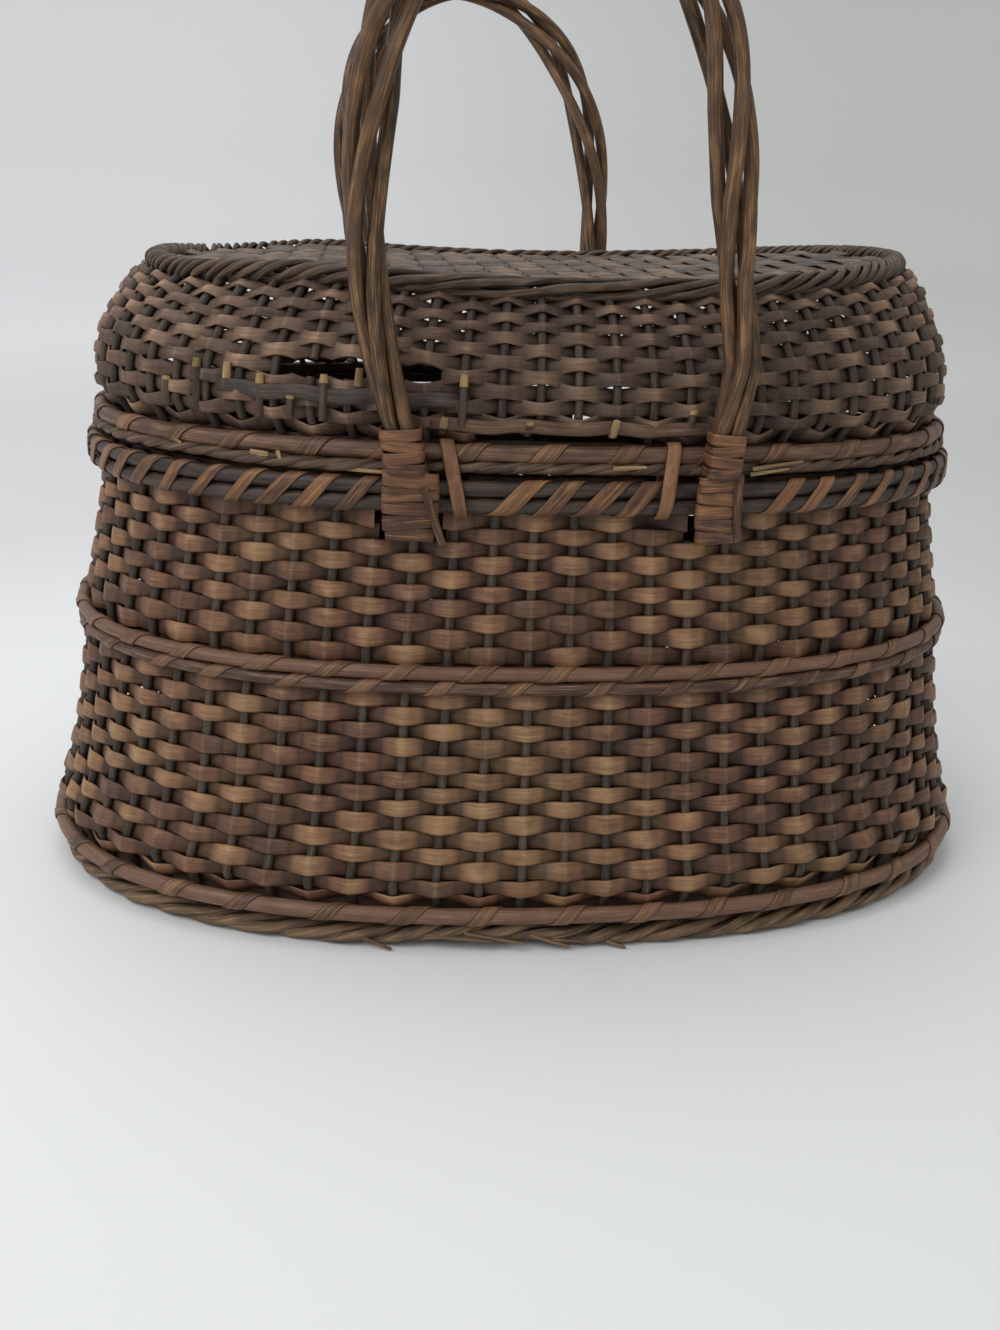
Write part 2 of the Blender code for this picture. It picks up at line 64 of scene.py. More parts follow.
class Flow:
    """A socket of a node tree. Python's operators on it add Math nodes, and make adds any other node."""

    def __init__(self, tree, socket=None):
        self.tree = tree
        self.socket = socket

    def make(self, kind, settings=(), values=(), output=0):
        """Add a node: its settings first, then the values or links of its sockets."""
        node = self.tree.nodes.new(kind)
        for name, value in dict(settings).items():
            setattr(node, name, value)
        for name, value in dict(values).items():
            if isinstance(value, Flow):
                self.tree.links.new(value.socket, node.inputs[name])
            else:
                node.inputs[name].default_value = value
        return Flow(self.tree, node.outputs[output])

    def maths(self, operation, *terms):
        """A Math node, or a Vector Math node where a term is a vector."""
        vectors = [term for term in terms if isinstance(term, Flow) and term.socket.type == "VECTOR"]
        if not vectors:
            return self.make("ShaderNodeMath", {"operation": operation}, dict(enumerate(terms)))
        if operation == "MULTIPLY" and len(vectors) == 1 and not isinstance(terms[1], tuple):
            scale = terms[1] if terms[0] is vectors[0] else terms[0]
            return self.make("ShaderNodeVectorMath", {"operation": "SCALE"}, {0: vectors[0], "Scale": scale})
        return self.make("ShaderNodeVectorMath", {"operation": operation}, dict(enumerate(terms)))

    def __add__(self, other):
        return self.maths("ADD", self, other)

    def __radd__(self, other):
        return self.maths("ADD", other, self)

    def __sub__(self, other):
        return self.maths("SUBTRACT", self, other)

    def __rsub__(self, other):
        return self.maths("SUBTRACT", other, self)

    def __mul__(self, other):
        return self.maths("MULTIPLY", self, other)

    def __rmul__(self, other):
        return self.maths("MULTIPLY", other, self)

    def __pow__(self, other):
        return self.maths("POWER", self, other)

    def cosine(self):
        return self.maths("COSINE", self)

    def sine(self):
        return self.maths("SINE", self)

    def size(self):
        return self.maths("ABSOLUTE", self)

    def reach(self, direction):
        """How far this vector goes in a direction."""
        return self.make("ShaderNodeVectorMath", {"operation": "DOT_PRODUCT"}, {0: self, 1: direction}, 1)

    def noise(self, scale, detail=2.0, turn=0.0):
        """Smooth noise between 0 and 1 at this place; turn picks another pattern."""
        values = {"Vector": self, "W": turn, "Scale": scale, "Detail": detail}
        return self.make("ShaderNodeTexNoise", {"noise_dimensions": "4D"}, values)

    def between(self, low, high):
        """This value spread from 0 at low to 1 at high, and held there."""
        return self.make("ShaderNodeMapRange", {"interpolation_type": "SMOOTHSTEP"},
                         {"Value": self, "From Min": low, "From Max": high})

    def tint(self, first, second, mode="MIX"):
        """Mix two colours by this factor."""
        return self.make("ShaderNodeMix", {"data_type": "RGBA", "blend_type": mode},
                         {0: self, 6: first, 7: second}, 2)

    def vector(self, x, y, z):
        return self.make("ShaderNodeCombineXYZ", (), {"X": x, "Y": y, "Z": z})

    def feed(self, shader, name):
        self.tree.links.new(self.socket, shader.inputs[name])


def new_finish(name, roughness, specular=0.35):
    """A material with its Principled shader, and a flow to build on."""
    material = bpy.data.materials.new(name)
    material.use_nodes = True
    shader = material.node_tree.nodes["Principled BSDF"]
    shader.inputs["Roughness"].default_value = roughness
    shader.inputs["Specular IOR Level"].default_value = specular
    return material, shader, Flow(material.node_tree)


scene = bpy.context.scene
scene.view_settings.view_transform = "Standard"
camera = bpy.data.objects.new("camera", bpy.data.cameras.new("camera"))
camera.data.lens = camera_lens
camera.data.sensor_width = sensor_width
camera.data.clip_end = camera_reach
turn = Matrix.Rotation(radians(camera_turn), 4, "Z") @ Matrix.Rotation(radians(90 - camera_dip), 4, "X")
turn = turn @ Matrix.Rotation(radians(camera_roll), 4, "Z")
camera.matrix_world = Matrix.Translation(camera_place) @ turn
scene.collection.objects.link(camera)
scene.camera = camera

sweep_mesh = bmesh.new()
rings = []
for reach, height in sweep_profile:
    angles = [2 * pi * side / sweep_sides for side in range(sweep_sides)]
    rings.append([sweep_mesh.verts.new((reach * np.cos(a), reach * np.sin(a), height)) for a in angles])
sweep_mesh.faces.new(rings[0])
for low, high in zip(rings, rings[1:]):
    for side in range(sweep_sides):
        after = (side + 1) % sweep_sides
        sweep_mesh.faces.new((low[after], low[side], high[side], high[after]))
floor = bpy.data.objects.new("floor", bpy.data.meshes.new("floor"))
sweep_mesh.to_mesh(floor.data)
sweep_mesh.free()
floor.data.shade_smooth()
paper, shader, flow = new_finish("pale_paper", 0.9, 0.2)
place = flow.make("ShaderNodeTexCoord", (), (), 3)
away = flow.make("ShaderNodeVectorMath", {"operation": "LENGTH"}, {0: place}, 1)
# Painted light and shade on the paper: lighter near the basket and on the far wall, darker in between and
# towards the right.
colour = away.between(*first_fade).tint(paper_near, paper_middle)
colour = away.between(*second_fade).tint(colour, paper_far)
colour = place.reach((1, 0, 0)).between(*right_shade_fade).tint(colour, paper_right_shaded, "MULTIPLY")
colour.feed(shader, "Base Color")
floor.data.materials.append(paper)
scene.collection.objects.link(floor)

world = bpy.data.worlds.new("studio")
world.use_nodes = True
world.node_tree.nodes["Background"].inputs["Color"].default_value = sky_colour
world.node_tree.nodes["Background"].inputs["Strength"].default_value = sky_strength
scene.world = world
for name, (place, size, power) in lamps.items():
    lamp = bpy.data.objects.new(name, bpy.data.lights.new(name, "AREA"))
    lamp.data.size = size
    lamp.data.energy = power
    lamp.location = place
    lamp.rotation_euler = (lamp_target - Vector(place)).to_track_quat("-Z", "Y").to_euler()
    scene.collection.objects.link(lamp)

# The lower wall is a plain weave. Fourteen weavers of flat reed pass in front of and behind 66 round
# stakes, which stand in the foot border and carry on up through the waist hoops.

plan_exponent, plan_ratio, plan_steps = 2.4, 1.52, 8192
facing_share, facing_rise = 0.0008, 0.0004
row_unevenness = 0.14
stake_count, stake_step = 66, 0.004
points_per_stake = 10
weave_sizes = {"Reed Width": 0.0067, "Crest Share": 0.50, "Side Share": 0.405, "Reed Thickness": 0.0011,
               "Stake Radius": 0.00168, "Peak": 0.11, "Wobble": 0.0006, "Tilt": 0.10, "Seed": 3.0}
wobble_scale, rock_scale, breadth_change = 55.0, 38.0, 0.22
reed_sides, reed_squareness = 8, 0.60
lower_stations = [(.0080, .1828, .1190), (.0176, .1842, .1204), (.0230, .1866, .1227), (.0320, .1841, .1212),
                  (.0440, .1808, .1191), (.0600, .1776, .1172), (.0780, .1748, .1155), (.0930, .1727, .1132),
                  (.0998, .1707, .1110)]
lower_rows, lower_span, lower_stake_span = 14, (0.0166, 0.0956), (0.0070, 0.1000)
lower_flat_rows = ((-2, 0.0100), (-1, 0.0142), (20, 0.0972))
fibre_scale, region_scale, length_scale, patch_scale = (70.0, 70.0, 1500.0), 13.0, 22.0, 160.0
streak_scale, bump_depth = 55.0, 0.0004


def new_tree(name, sizes):
    """A Geometry Nodes tree with a named input for each size, and its inputs as flows."""
    tree = bpy.data.node_groups.new(name, "GeometryNodeTree")
    tree.interface.new_socket("Geometry", in_out="INPUT", socket_type="NodeSocketGeometry")
    for label, value in sizes.items():
        kind = "NodeSocketInt" if isinstance(value, int) else "NodeSocketFloat"
        tree.interface.new_socket(label, in_out="INPUT", socket_type=kind).default_value = value
    tree.interface.new_socket("Material", in_out="INPUT", socket_type="NodeSocketMaterial")
    tree.interface.new_socket("Geometry", in_out="OUTPUT", socket_type="NodeSocketGeometry")
    enter = tree.nodes.new("NodeGroupInput")
    return tree, {socket.name: Flow(tree, socket) for socket in enter.outputs if socket.name}


def named(flow, name, kind="FLOAT"):
    """A value that the points carry under a name."""
    return flow.make("GeometryNodeInputNamedAttribute", {"data_type": kind}, {"Name": name})


def way(flow, name):
    return named(flow, name, "FLOAT_VECTOR")


def keep(points, **values):
    """Store values on the points under their names."""
    for name, value in values.items():
        kind = "FLOAT_VECTOR" if value.socket.type == "VECTOR" else "FLOAT"
        points = points.make("GeometryNodeStoreNamedAttribute", {"data_type": kind, "domain": "POINT"},
                             {"Geometry": points, "Name": name, "Value": value})
    return points


def sweep_and_finish(tree, curve, sides, squareness, material):
    """Sweep a rounded section along curves in the frame that the points carry, and end the tree."""
    section = curve.make("GeometryNodeCurvePrimitiveCircle", {"mode": "RADIUS"},
                         {"Resolution": sides, "Radius": 1.0})
    section = keep(section, section=section.make("GeometryNodeInputPosition"))
    body = curve.make("GeometryNodeCurveToMesh", (),
                      {"Curve": curve, "Profile Curve": section, "Fill Caps": True})
    reach = []
    for direction in ((1, 0, 0), (0, 1, 0)):
        share = way(body, "section").reach(direction)
        reach.append(share.maths("SIGN", share) * share.size() ** squareness)
    moved = way(body, "centre") + way(body, "across") * (reach[0] * named(body, "half_width"))
    moved = moved + way(body, "out") * (reach[1] * named(body, "half_depth"))
    body = body.make("GeometryNodeSetPosition", (), {"Geometry": body, "Position": moved})
    body = body.make("GeometryNodeRealizeInstances", (), {"Geometry": body})
    body = body.make("GeometryNodeSetMaterial", (), {"Geometry": body, "Material": material})
    tree.links.new(body.socket, tree.nodes.new("NodeGroupOutput").inputs[0])


class Lines:
    """Chains of points that carry values, for a tree to shape."""

    def __init__(self):
        self.points = []
        self.edges = []
        self.values = {}

    def add(self, points, closed=False, **values):
        """Add a chain. Each value is one number for the chain, or one number or vector for each point."""
        start = len(self.points)
        count = len(points)
        self.points.extend(points)
        self.edges.extend((start + index, start + index + 1) for index in range(count - 1))
        if closed:
            self.edges.append((start + count - 1, start))
        for name, value in values.items():
            vector = name in ("across", "out", "outward", "upward")
            value = np.broadcast_to(np.asarray(value, float), (count, 3) if vector else (count,))
            self.values.setdefault(name, []).append(value)


def shape(name, lines, tree, sizes, material, body, replaced):
    """Run a tree over lines, keep the result as one plain mesh and fix it to its body."""
    mesh = bpy.data.meshes.new(name + "_lines")
    mesh.from_pydata([tuple(point) for point in lines.points], lines.edges, [])
    for label, chains in lines.values.items():
        value = np.concatenate(chains).astype(np.float32)
        kind, field = ("FLOAT_VECTOR", "vector") if value.ndim == 2 else ("FLOAT", "value")
        mesh.attributes.new(label, kind, "POINT").data.foreach_set(field, value.ravel())
    source = bpy.data.objects.new(name + "_lines", mesh)
    scene.collection.objects.link(source)
    modifier = source.modifiers.new(tree.name, "NODES")
    modifier.node_group = tree
    for item in tree.interface.items_tree:
        if item.in_out == "INPUT" and item.name in sizes:
            modifier[item.identifier] = sizes[item.name]
        if item.in_out == "INPUT" and item.name == "Material":
            modifier[item.identifier] = material
    graph = bpy.context.evaluated_depsgraph_get()
    made = bpy.data.meshes.new_from_object(source.evaluated_get(graph), preserve_all_data_layers=True,
                                           depsgraph=graph)
    bpy.data.objects.remove(source)
    for label in ("centre", "across", "out", "half_width", "half_depth", "outward", "upward"):
        if label in made.attributes:
            made.attributes.remove(made.attributes[label])
    faces = bmesh.new()
    faces.from_mesh(made)
    bmesh.ops.recalc_face_normals(faces, faces=faces.faces)
    faces.to_mesh(made)
    faces.free()
    made.shade_smooth()
    made.name = name
    piece = bpy.data.objects.new(name, made)
    scene.collection.objects.link(piece)
    if replaced:
        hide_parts(*replaced)
    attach(piece, body)


def smooth(places, known, values):
    """A smooth line through known values."""
    slopes = np.gradient(values, known)
    index = np.clip(np.searchsorted(known, places) - 1, 0, len(known) - 2)
    span = known[index + 1] - known[index]
    share = (places - known[index]) / span
    square, cube = share ** 2, share ** 3
    first = (2 * cube - 3 * square + 1) * values[index] + (cube - 2 * square + share) * span * slopes[index]
    second = (3 * square - 2 * cube) * values[index + 1] + (cube - square) * span * slopes[index + 1]
    return first + second


def bulged(wave, power):
    """A wave that keeps its sign, with its size raised to a power."""
    return np.sign(wave) * np.abs(wave) ** power


def step_lengths(places):
    return np.linalg.norm(np.diff(places, axis=0), axis=-1)


def travelled(steps):
    """How far along a line each of its points lies, from the lengths of its steps."""
    return np.concatenate([[0], np.cumsum(steps)])


def round_plan(shares):
    """Unit places spaced evenly round the oval plan, from the right end by way of the far side."""
    turns = np.linspace(0, 2 * pi, plan_steps + 1)
    x, y = bulged(np.cos(turns), 2 / plan_exponent), bulged(np.sin(turns), 2 / plan_exponent)
    run = travelled(np.hypot(np.diff(x) * plan_ratio, np.diff(y)))
    target = np.mod(shares, 1) * run[-1]
    return np.interp(target, run, x), np.interp(target, run, y)


def unit(vectors):
    return vectors / np.linalg.norm(vectors, axis=-1, keepdims=True)


class Wall:
    """A wall's stake line: its place at a height and a share of the way round, and the ways it faces.
    Each station is a height, a half length and a half width."""

    def __init__(self, stations, lift=None):
        self.known, self.lengths, self.widths = np.array(stations).T
        self.lift = lift

    def place(self, heights, shares):
        x, y = round_plan(shares)
        x = x * smooth(heights, self.known, self.lengths)
        y = y * smooth(heights, self.known, self.widths)
        z = heights + 0 * x if self.lift is None else self.lift(heights, x)
        return np.stack([x, y, z], -1)

    def facing(self, heights, shares):
        """The place, and unit vectors along the row, up the wall and out of it."""
        along = unit(self.place(heights, shares + facing_share) - self.place(heights, shares - facing_share))
        up = unit(self.place(heights + facing_rise, shares) - self.place(heights - facing_rise, shares))
        return self.place(heights, shares), along, up, unit(np.cross(along, up))

    def rows(self, span, count, seed, taper=0.0):
        """Heights up the wall's curve for weavers of uneven breadth, and their breadths as shares."""
        fine = np.linspace(*span, 400)
        climb = travelled(np.hypot(np.diff(fine), np.diff(smooth(fine, self.known, self.lengths))))
        breadths = 1 + np.random.default_rng(seed).uniform(-row_unevenness, row_unevenness, count)
        breadths = breadths - taper * (np.arange(count) / (count - 1) - 0.5)
        breadths = breadths / breadths.mean()
        middles = (np.cumsum(breadths) - breadths / 2) / count
        return list(zip(np.interp(middles * climb[-1], climb, fine), breadths))


def add_row(lines, wall, height, row, stakes, breadth, gaps, flat=False, bend=None):
    """One weaver round the wall; gaps are openings as a middle x, a half width and a side."""
    count = stakes * points_per_stake
    share = np.arange(count) / count
    level = np.full(count, height)
    if bend is not None:
        level = level + bend(row, wall.place(level, share))
    place, _, up, outward = wall.facing(level, share)
    phase = np.full(count, pi) if flat else pi * (share * stakes + row)
    open_here = np.zeros(count, bool)
    for middle, half, side in gaps:
        open_here |= (np.abs(place[:, 0] - middle) < half) & (place[:, 1] * side > 0)
    if not open_here.any():
        lines.add(place, True, outward=outward, upward=up, phase=phase, row=row, breadth=breadth)
        return
    first = int(np.argmax(open_here))
    chain = []
    for index in [(first + step) % count for step in range(count + 1)]:
        if not open_here[index]:
            chain.append(index)
        elif chain:
            lines.add(place[chain], False, outward=outward[chain], upward=up[chain], phase=phase[chain],
                      row=row, breadth=breadth)
            chain = []


weave_tree, socket = new_tree("Flat reed weave", weave_sizes)
points = socket["Geometry"]
phase = named(points, "phase")
row = named(points, "row")
here = points.make("GeometryNodeInputPosition")
outward, upward = way(points, "outward"), way(points, "upward")
peak = socket["Peak"]
wave = phase.cosine() + peak * (3 * phase).cosine() + peak * 0.3 * (5 * phase).cosine()
wave = wave * (1 / (1 + 1.3 * weave_sizes["Peak"]))
restless = here.noise(wobble_scale, 1.0, row * 3.7 + socket["Seed"]) - 0.5
rock = here.noise(rock_scale, 1.0, row * 5.3 + socket["Seed"] + 9.0) - 0.5
swing = rock * socket["Tilt"] * 2
centre = here + outward * ((socket["Stake Radius"] + socket["Reed Thickness"] * 0.5) * wave)
centre = centre + upward * (restless * socket["Wobble"] * 2)
breadth = socket["Reed Width"] * named(points, "breadth") * (1 + restless * breadth_change)
flare = phase.cosine().size() ** 0.8
half_width = breadth * (socket["Side Share"] + (socket["Crest Share"] - socket["Side Share"]) * flare)
points = keep(points, centre=centre, across=upward + outward * swing, out=outward - upward * swing,
              half_width=half_width, half_depth=socket["Reed Thickness"] * 0.5)
curve = points.make("GeometryNodeMeshToCurve", (), {"Mesh": points})
sweep_and_finish(weave_tree, curve, reed_sides, reed_squareness, socket["Material"])

rod_tree, socket = new_tree("Swept rod", {"Squareness": 1.0, "Sides": 8})
points = keep(socket["Geometry"], centre=socket["Geometry"].make("GeometryNodeInputPosition"))
curve = points.make("GeometryNodeMeshToCurve", (), {"Mesh": points})
sweep_and_finish(rod_tree, curve, socket["Sides"], socket["Squareness"], socket["Material"])


def screen(*colours):
    """Colours given as they look on a screen, 0 to 255."""
    for colour in colours:
        linear = [(c / 255 / 12.92) if c < 10.3 else ((c / 255 + 0.055) / 1.055) ** 2.4 for c in colour]
        yield (*linear, 1.0)


def attribute(flow, name, output=2):
    return flow.make("ShaderNodeAttribute", {"attribute_name": name}, (), output)


def finish_surface(flow, shader, colour, level, roughness, height, relief):
    """Darken the colour by a level, and feed it to the shader with its roughness and its relief."""
    colour = flow.make("ShaderNodeMix", {"data_type": "RGBA", "blend_type": "MULTIPLY"},
                       {0: 1.0, 6: colour, 7: flow.vector(level, level, level)}, 2)
    colour.feed(shader, "Base Color")
    roughness.feed(shader, "Roughness")
    bump = {"Strength": relief, "Distance": bump_depth, "Height": height}
    flow.make("ShaderNodeBump", (), bump).feed(shader, "Normal")


def reed_finish(name, dark, red, golden, wear_and_highlight, dull, roughness=0.5, shade=0.5):
    """Aged flat reed: every visible length has its own tone between dark, red-brown and golden, and fibres
    run along it. A painted highlight mixed with real wear lies on the crests over the stakes, a thin painted
    highlight runs along the fold, and painted shade darkens the reed where it goes in behind the stakes.
    Dull is the middle on X of a darker part of the weave, how far that reaches, how far off it has faded
    out, and how dark it is."""
    dark, red, golden, wear_and_highlight = screen(dark, red, golden, wear_and_highlight)
    material, shader, flow = new_finish(name, roughness)
    place = flow.make("ShaderNodeTexCoord", (), (), 3)
    phase, row = attribute(flow, "phase"), attribute(flow, "row")
    brick = (phase * (1 / pi) + 0.5).maths("FLOOR", phase * (1 / pi) + 0.5)
    tone = flow.make("ShaderNodeTexWhiteNoise", {"noise_dimensions": "3D"},
                     {"Vector": flow.vector(brick, row, 0.5)})
    fibre = place.maths("MULTIPLY", place, fibre_scale).noise(1.0, 3.0, row)
    region = place.noise(region_scale, 1.0, 4.0)
    length = place.noise(length_scale, 2.0, row * 7.1)
    patch = place.noise(patch_scale, 2.0, row * 2.3)
    crest = phase.cosine().maths("MAXIMUM", phase.cosine(), 0.0)
    base = (tone * 0.4 + length * 0.9).between(0.30, 0.85).tint(dark, red)
    gold = region * 0.8 + length * 0.5 + tone * 0.25 + patch * 0.3
    base = (gold.between(0.78, 1.20) * 0.75).tint(base, golden)
    # Painted highlight on the crests over the stakes, mixed with real wear where the reed rubs there.
    rubbed_and_highlight = (crest ** 4.0) * (fibre * 0.5 + patch * 0.7 + tone * 0.35).between(0.62, 1.0)
    base = (rubbed_and_highlight * 0.6).tint(base, wear_and_highlight)
    # A thin painted highlight along the fold at each crest.
    crease_highlight = 1.0 - phase.sine().size().between(0.02, 0.20)
    base = (crease_highlight * crest * 0.18).tint(base, wear_and_highlight)
    middle, near, far, depth = dull
    gloom = 1.0 - (1.0 - (place.reach((1, 0, 0)) - middle).size().between(near, far)) * depth
    level = gloom * ((fibre - 0.5) * 1.2 + 1.0) * ((patch - 0.5) * 0.7 + 1.0)
    # Painted shade where the weaver goes in behind the stakes and between them.
    level = level * (crest.between(-0.1, 0.6) * shade + 1 - shade)
    gloss = roughness + 0.10 - crest * 0.12 + (fibre - 0.5) * 0.2
    finish_surface(flow, shader, base, level, gloss, fibre * 0.6 + patch * 0.4, 0.6)
    return material


def rod_finish(name, dark, light, streak, roughness=0.5, relief=0.4, spread=1.0, edge_shade=0.0, ridge_highlight=0.0):
    """Round rod, strand or strip: lengthwise streaks, a tone for each strand, painted shade along the edges
    and a painted highlight along one side.
    """
    dark, light, streak = screen(dark, light, streak)
    material, shader, flow = new_finish(name, roughness)
    section, strand = attribute(flow, "section", 1), attribute(flow, "strand")
    along = flow.vector(0.0, 0.0, attribute(flow, "travel") * streak_scale)
    grain = (section * 3.2 + along).noise(1.0, 3.0, strand * 4.7)
    fine = (section * 14.0 + along * 1.4).noise(1.0, 2.0, strand * 2.9)
    patch = (section * 1.1 + along * 2.2).noise(1.0, 2.0, strand * 3.3)
    tone = flow.make("ShaderNodeTexWhiteNoise", {"noise_dimensions": "1D"}, {"W": strand * 1.37 + 0.21})
    base = (grain * 0.5 + patch * 0.4 + (tone - 0.5) * 0.6 * spread).between(0.22, 0.72).tint(dark, light)
    # Painted highlight along one side of each rod or strand, mixed into its lighter streaks.
    top = section.reach((0, 1, 0)).between(0.35, 1.0)
    wear_and_highlight = (fine * 0.6 + grain * 0.3 + patch * 0.3).between(0.56, 0.80) + top * ridge_highlight * patch
    base = wear_and_highlight.tint(base, streak)
    # Painted shade along both edges of a strip.
    level = 1.0 - section.reach((1, 0, 0)).size().between(0.72, 1.0) * edge_shade
    level = level * ((fine - 0.5) * 0.5 + 1.0)
    finish_surface(flow, shader, base, level, roughness - 0.1 + fine * 0.25, fine * 0.6 + grain * 0.4, relief)
    return material


def add_stakes(lines, wall, span, stakes, radius, short):
    """Round stakes up a wall; short lists openings, where a stake stops below one height and may go on
    above another."""
    for stake in range(stakes):
        share = stake / stakes
        lengths = [span]
        for middle, half, side, below, above in short:
            spot = wall.place(np.array([below]), np.array([share]))[0]
            if abs(spot[0] - middle) < half + radius and spot[1] * side > 0:
                lengths = [(span[0], below)] + ([(above, span[1])] if above < span[1] else [])
        for start, end in lengths:
            heights = np.linspace(start, end, max(4, int((end - start) / stake_step)))
            place, along, up, outward = wall.facing(heights, np.full(len(heights), share))
            lines.add(place, False, across=along, out=outward, half_width=radius, half_depth=radius,
                      travel=heights, strand=stake)


def woven_wall(name, wall, rows, flat_rows, stakes, span, sizes, reed, body, gaps, short, bend=None):
    """A wall's weavers, and its stakes, as two pieces; gaps gives the openings in each row."""
    lines = Lines()
    for row, (height, breadth) in enumerate(rows):
        add_row(lines, wall, height, row, stakes, breadth, gaps.get(row, ()), bend=bend)
    for row, height in flat_rows:
        add_row(lines, wall, height, row, stakes, 1.0, gaps.get(row, ()), flat=True)
    shape(name + "_weave", lines, weave_tree, sizes, reed, body, (name + "_wall",))
    lines = Lines()
    add_stakes(lines, wall, span, stakes, sizes["Stake Radius"], short)
    shape(name + "_stakes", lines, rod_tree, {}, stake_wood, body, ())


body_reed = reed_finish("body_reed", (80, 56, 43), (122, 82, 60), (134, 104, 70), (158, 124, 88),
                        (0.17, 0.03, 0.13, 0.16), 0.5, 0.6)
stake_wood = rod_finish("stake_wood", (46, 38, 32), (69, 57, 48), (98, 82, 68), 0.6)

lower_wall = Wall(lower_stations)
woven_wall("lower", lower_wall, lower_wall.rows(lower_span, lower_rows, 2), lower_flat_rows, stake_count,
           lower_stake_span, weave_sizes, body_reed, "basket", {}, ())

# The foot border is laid from four dark willow strands, twisted loosely round the stakes' lower ends.
# It carries the basket; its front has lifted in the middle, where the strands are worn and frayed.

rope_sizes = {"Strands": 4, "Reach": 0.0038, "Rise": 0.0021, "Strand Radius": 0.0020, "Looseness": 0.0008,
              "Seed": 1.0}
end_sizes = {"Squareness": 0.8, "Sides": 8}
ring_steps, ring_girth = 640, 0.95
rope_sides, rope_squareness, strand_wide, strand_deep = 8, 0.9, 1.12, 0.84
loose_scale, slack_scale, slack_turn = 70.0, 45.0, 1.4
foot_lay, foot_middle, foot_inset, grain_shift = 15, 0.0040, 0.0060, 0.7
frayed_place, frayed_half, frayed_rise = -0.022, 0.030, 0.0030
frayed_inset, frayed_reach, frayed_breadth, frayed_taper, frayed_thin = 0.0012, 0.0016, 0.0009, 0.0004, 0.0005
# The ends' starts and ends, each as X and height.
frayed_ends = [((-0.0640, 0.0040), (-0.0540, 0.0010)), ((-0.0420, 0.0060), (-0.0180, 0.0046)),
               ((-0.0280, 0.0070), (-0.0060, 0.0036)), ((-0.0040, 0.0060), (0.0100, 0.0022)),
               ((0.0040, 0.0040), (0.0150, 0.0040)), ((0.0240, 0.0030), (0.0310, 0.0008))]
rope_tree, socket = new_tree("Laid border", rope_sizes)
points = socket["Geometry"]
curve = points.make("GeometryNodeMeshToCurve", (), {"Mesh": points})
copies = curve.make("GeometryNodeDuplicateElements", {"domain": "SPLINE"},
                    {"Geometry": curve, "Amount": socket["Strands"]})
index = Flow(rope_tree, copies.socket.node.outputs["Duplicate Index"])
copies = keep(copies, strand=index + socket["Seed"] * 10)
turn = (named(copies, "lay") + index.maths("DIVIDE", index, socket["Strands"])) * (2 * pi)
here = copies.make("GeometryNodeInputPosition")
outward, upward = way(copies, "outward"), way(copies, "upward")
loose = here.noise(loose_scale, 1.0, index * 5.1 + socket["Seed"]) - 0.5
slack = here.noise(slack_scale, 1.0, index * 3.3 + socket["Seed"] + 20.0) - 0.5
turn = turn + slack * slack_turn
centre = here + outward * (turn.cosine() * socket["Reach"] + loose * socket["Looseness"] * 2)
centre = centre + upward * (turn.sine() * socket["Rise"])
copies = keep(copies, centre=centre, across=upward * turn.cosine() - outward * turn.sine(),
              out=outward * turn.cosine() + upward * turn.sine(),
              half_width=socket["Strand Radius"] * (strand_wide + loose * 0.5),
              half_depth=socket["Strand Radius"] * (strand_deep + slack * 0.3))
sweep_and_finish(rope_tree, copies, rope_sides, rope_squareness, socket["Material"])


def cad_ring(node, radius=0.0, sides=8):
    """Half length, half width and height of the line that a ring of the frame follows."""
    low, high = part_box(node)
    reach = radius * cos(pi / sides)
    return (high.x - low.x) / 2 - reach, (high.y - low.y) / 2 - reach, (high.z + low.z) / 2


def oval_ring(ring, shares):
    """Places round an oval at one height, and the unit vectors along it and out of it."""
    half_length, half_width, height = ring
    oval = Wall([(level, half_length, half_width) for level in (-1.0, 1.0)])
    place, along, _, outward = oval.facing(np.zeros(len(shares)), shares)
    place[:, 2] = height
    return place, along, outward


def ring_line(lines, ring, lay, lift):
    """A closed chain round the oval plan; lay counts the turns that its strands have made."""
    shares = np.arange(ring_steps) / ring_steps
    place, _, outward = oval_ring(ring, shares)
    lines.add(lift(place), True, outward=outward, upward=(0, 0, 1), lay=lay(shares),
              travel=shares * ring_girth)


def oval_y(half_length, half_width, x):
    """How far the plan's outline lies from the X axis."""
    return half_width * (1 - np.abs(x / half_length) ** plan_exponent) ** (1 / plan_exponent)


def swept_line(lines, places, across, half_width, half_depth, strand, closed=False):
    """A rod or strip along places; across is the way that its width lies."""
    places = np.asarray(places, float)
    if closed:
        along = np.roll(places, -1, 0) - np.roll(places, 1, 0)
    else:
        along = np.gradient(places, axis=0)
    along = unit(along)
    across = np.broadcast_to(across, places.shape)
    across = unit(across - along * (across * along).sum(-1, keepdims=True))
    travel = travelled(step_lengths(places)) + strand * grain_shift
    lines.add(places, closed, across=across, out=np.cross(along, across), half_width=half_width,
              half_depth=half_depth, travel=travel, strand=strand)


def straight(start, end, shares):
    """Places on the straight line from start to end, one axis to a row."""
    return (np.asarray(start) + np.outer(shares, np.subtract(end, start))).T


def front_stretch(place, middle, half, power=4):
    """1 on a stretch of the basket's front, and 0 away from it."""
    return np.exp(-((place[..., 0] - middle) / half) ** power) * (place[..., 1] < 0)


def raise_foot(place):
    """The foot border's lifted stretch, over the frayed ends."""
    place[:, 2] += frayed_rise * front_stretch(place, frayed_place, frayed_half)
    return place


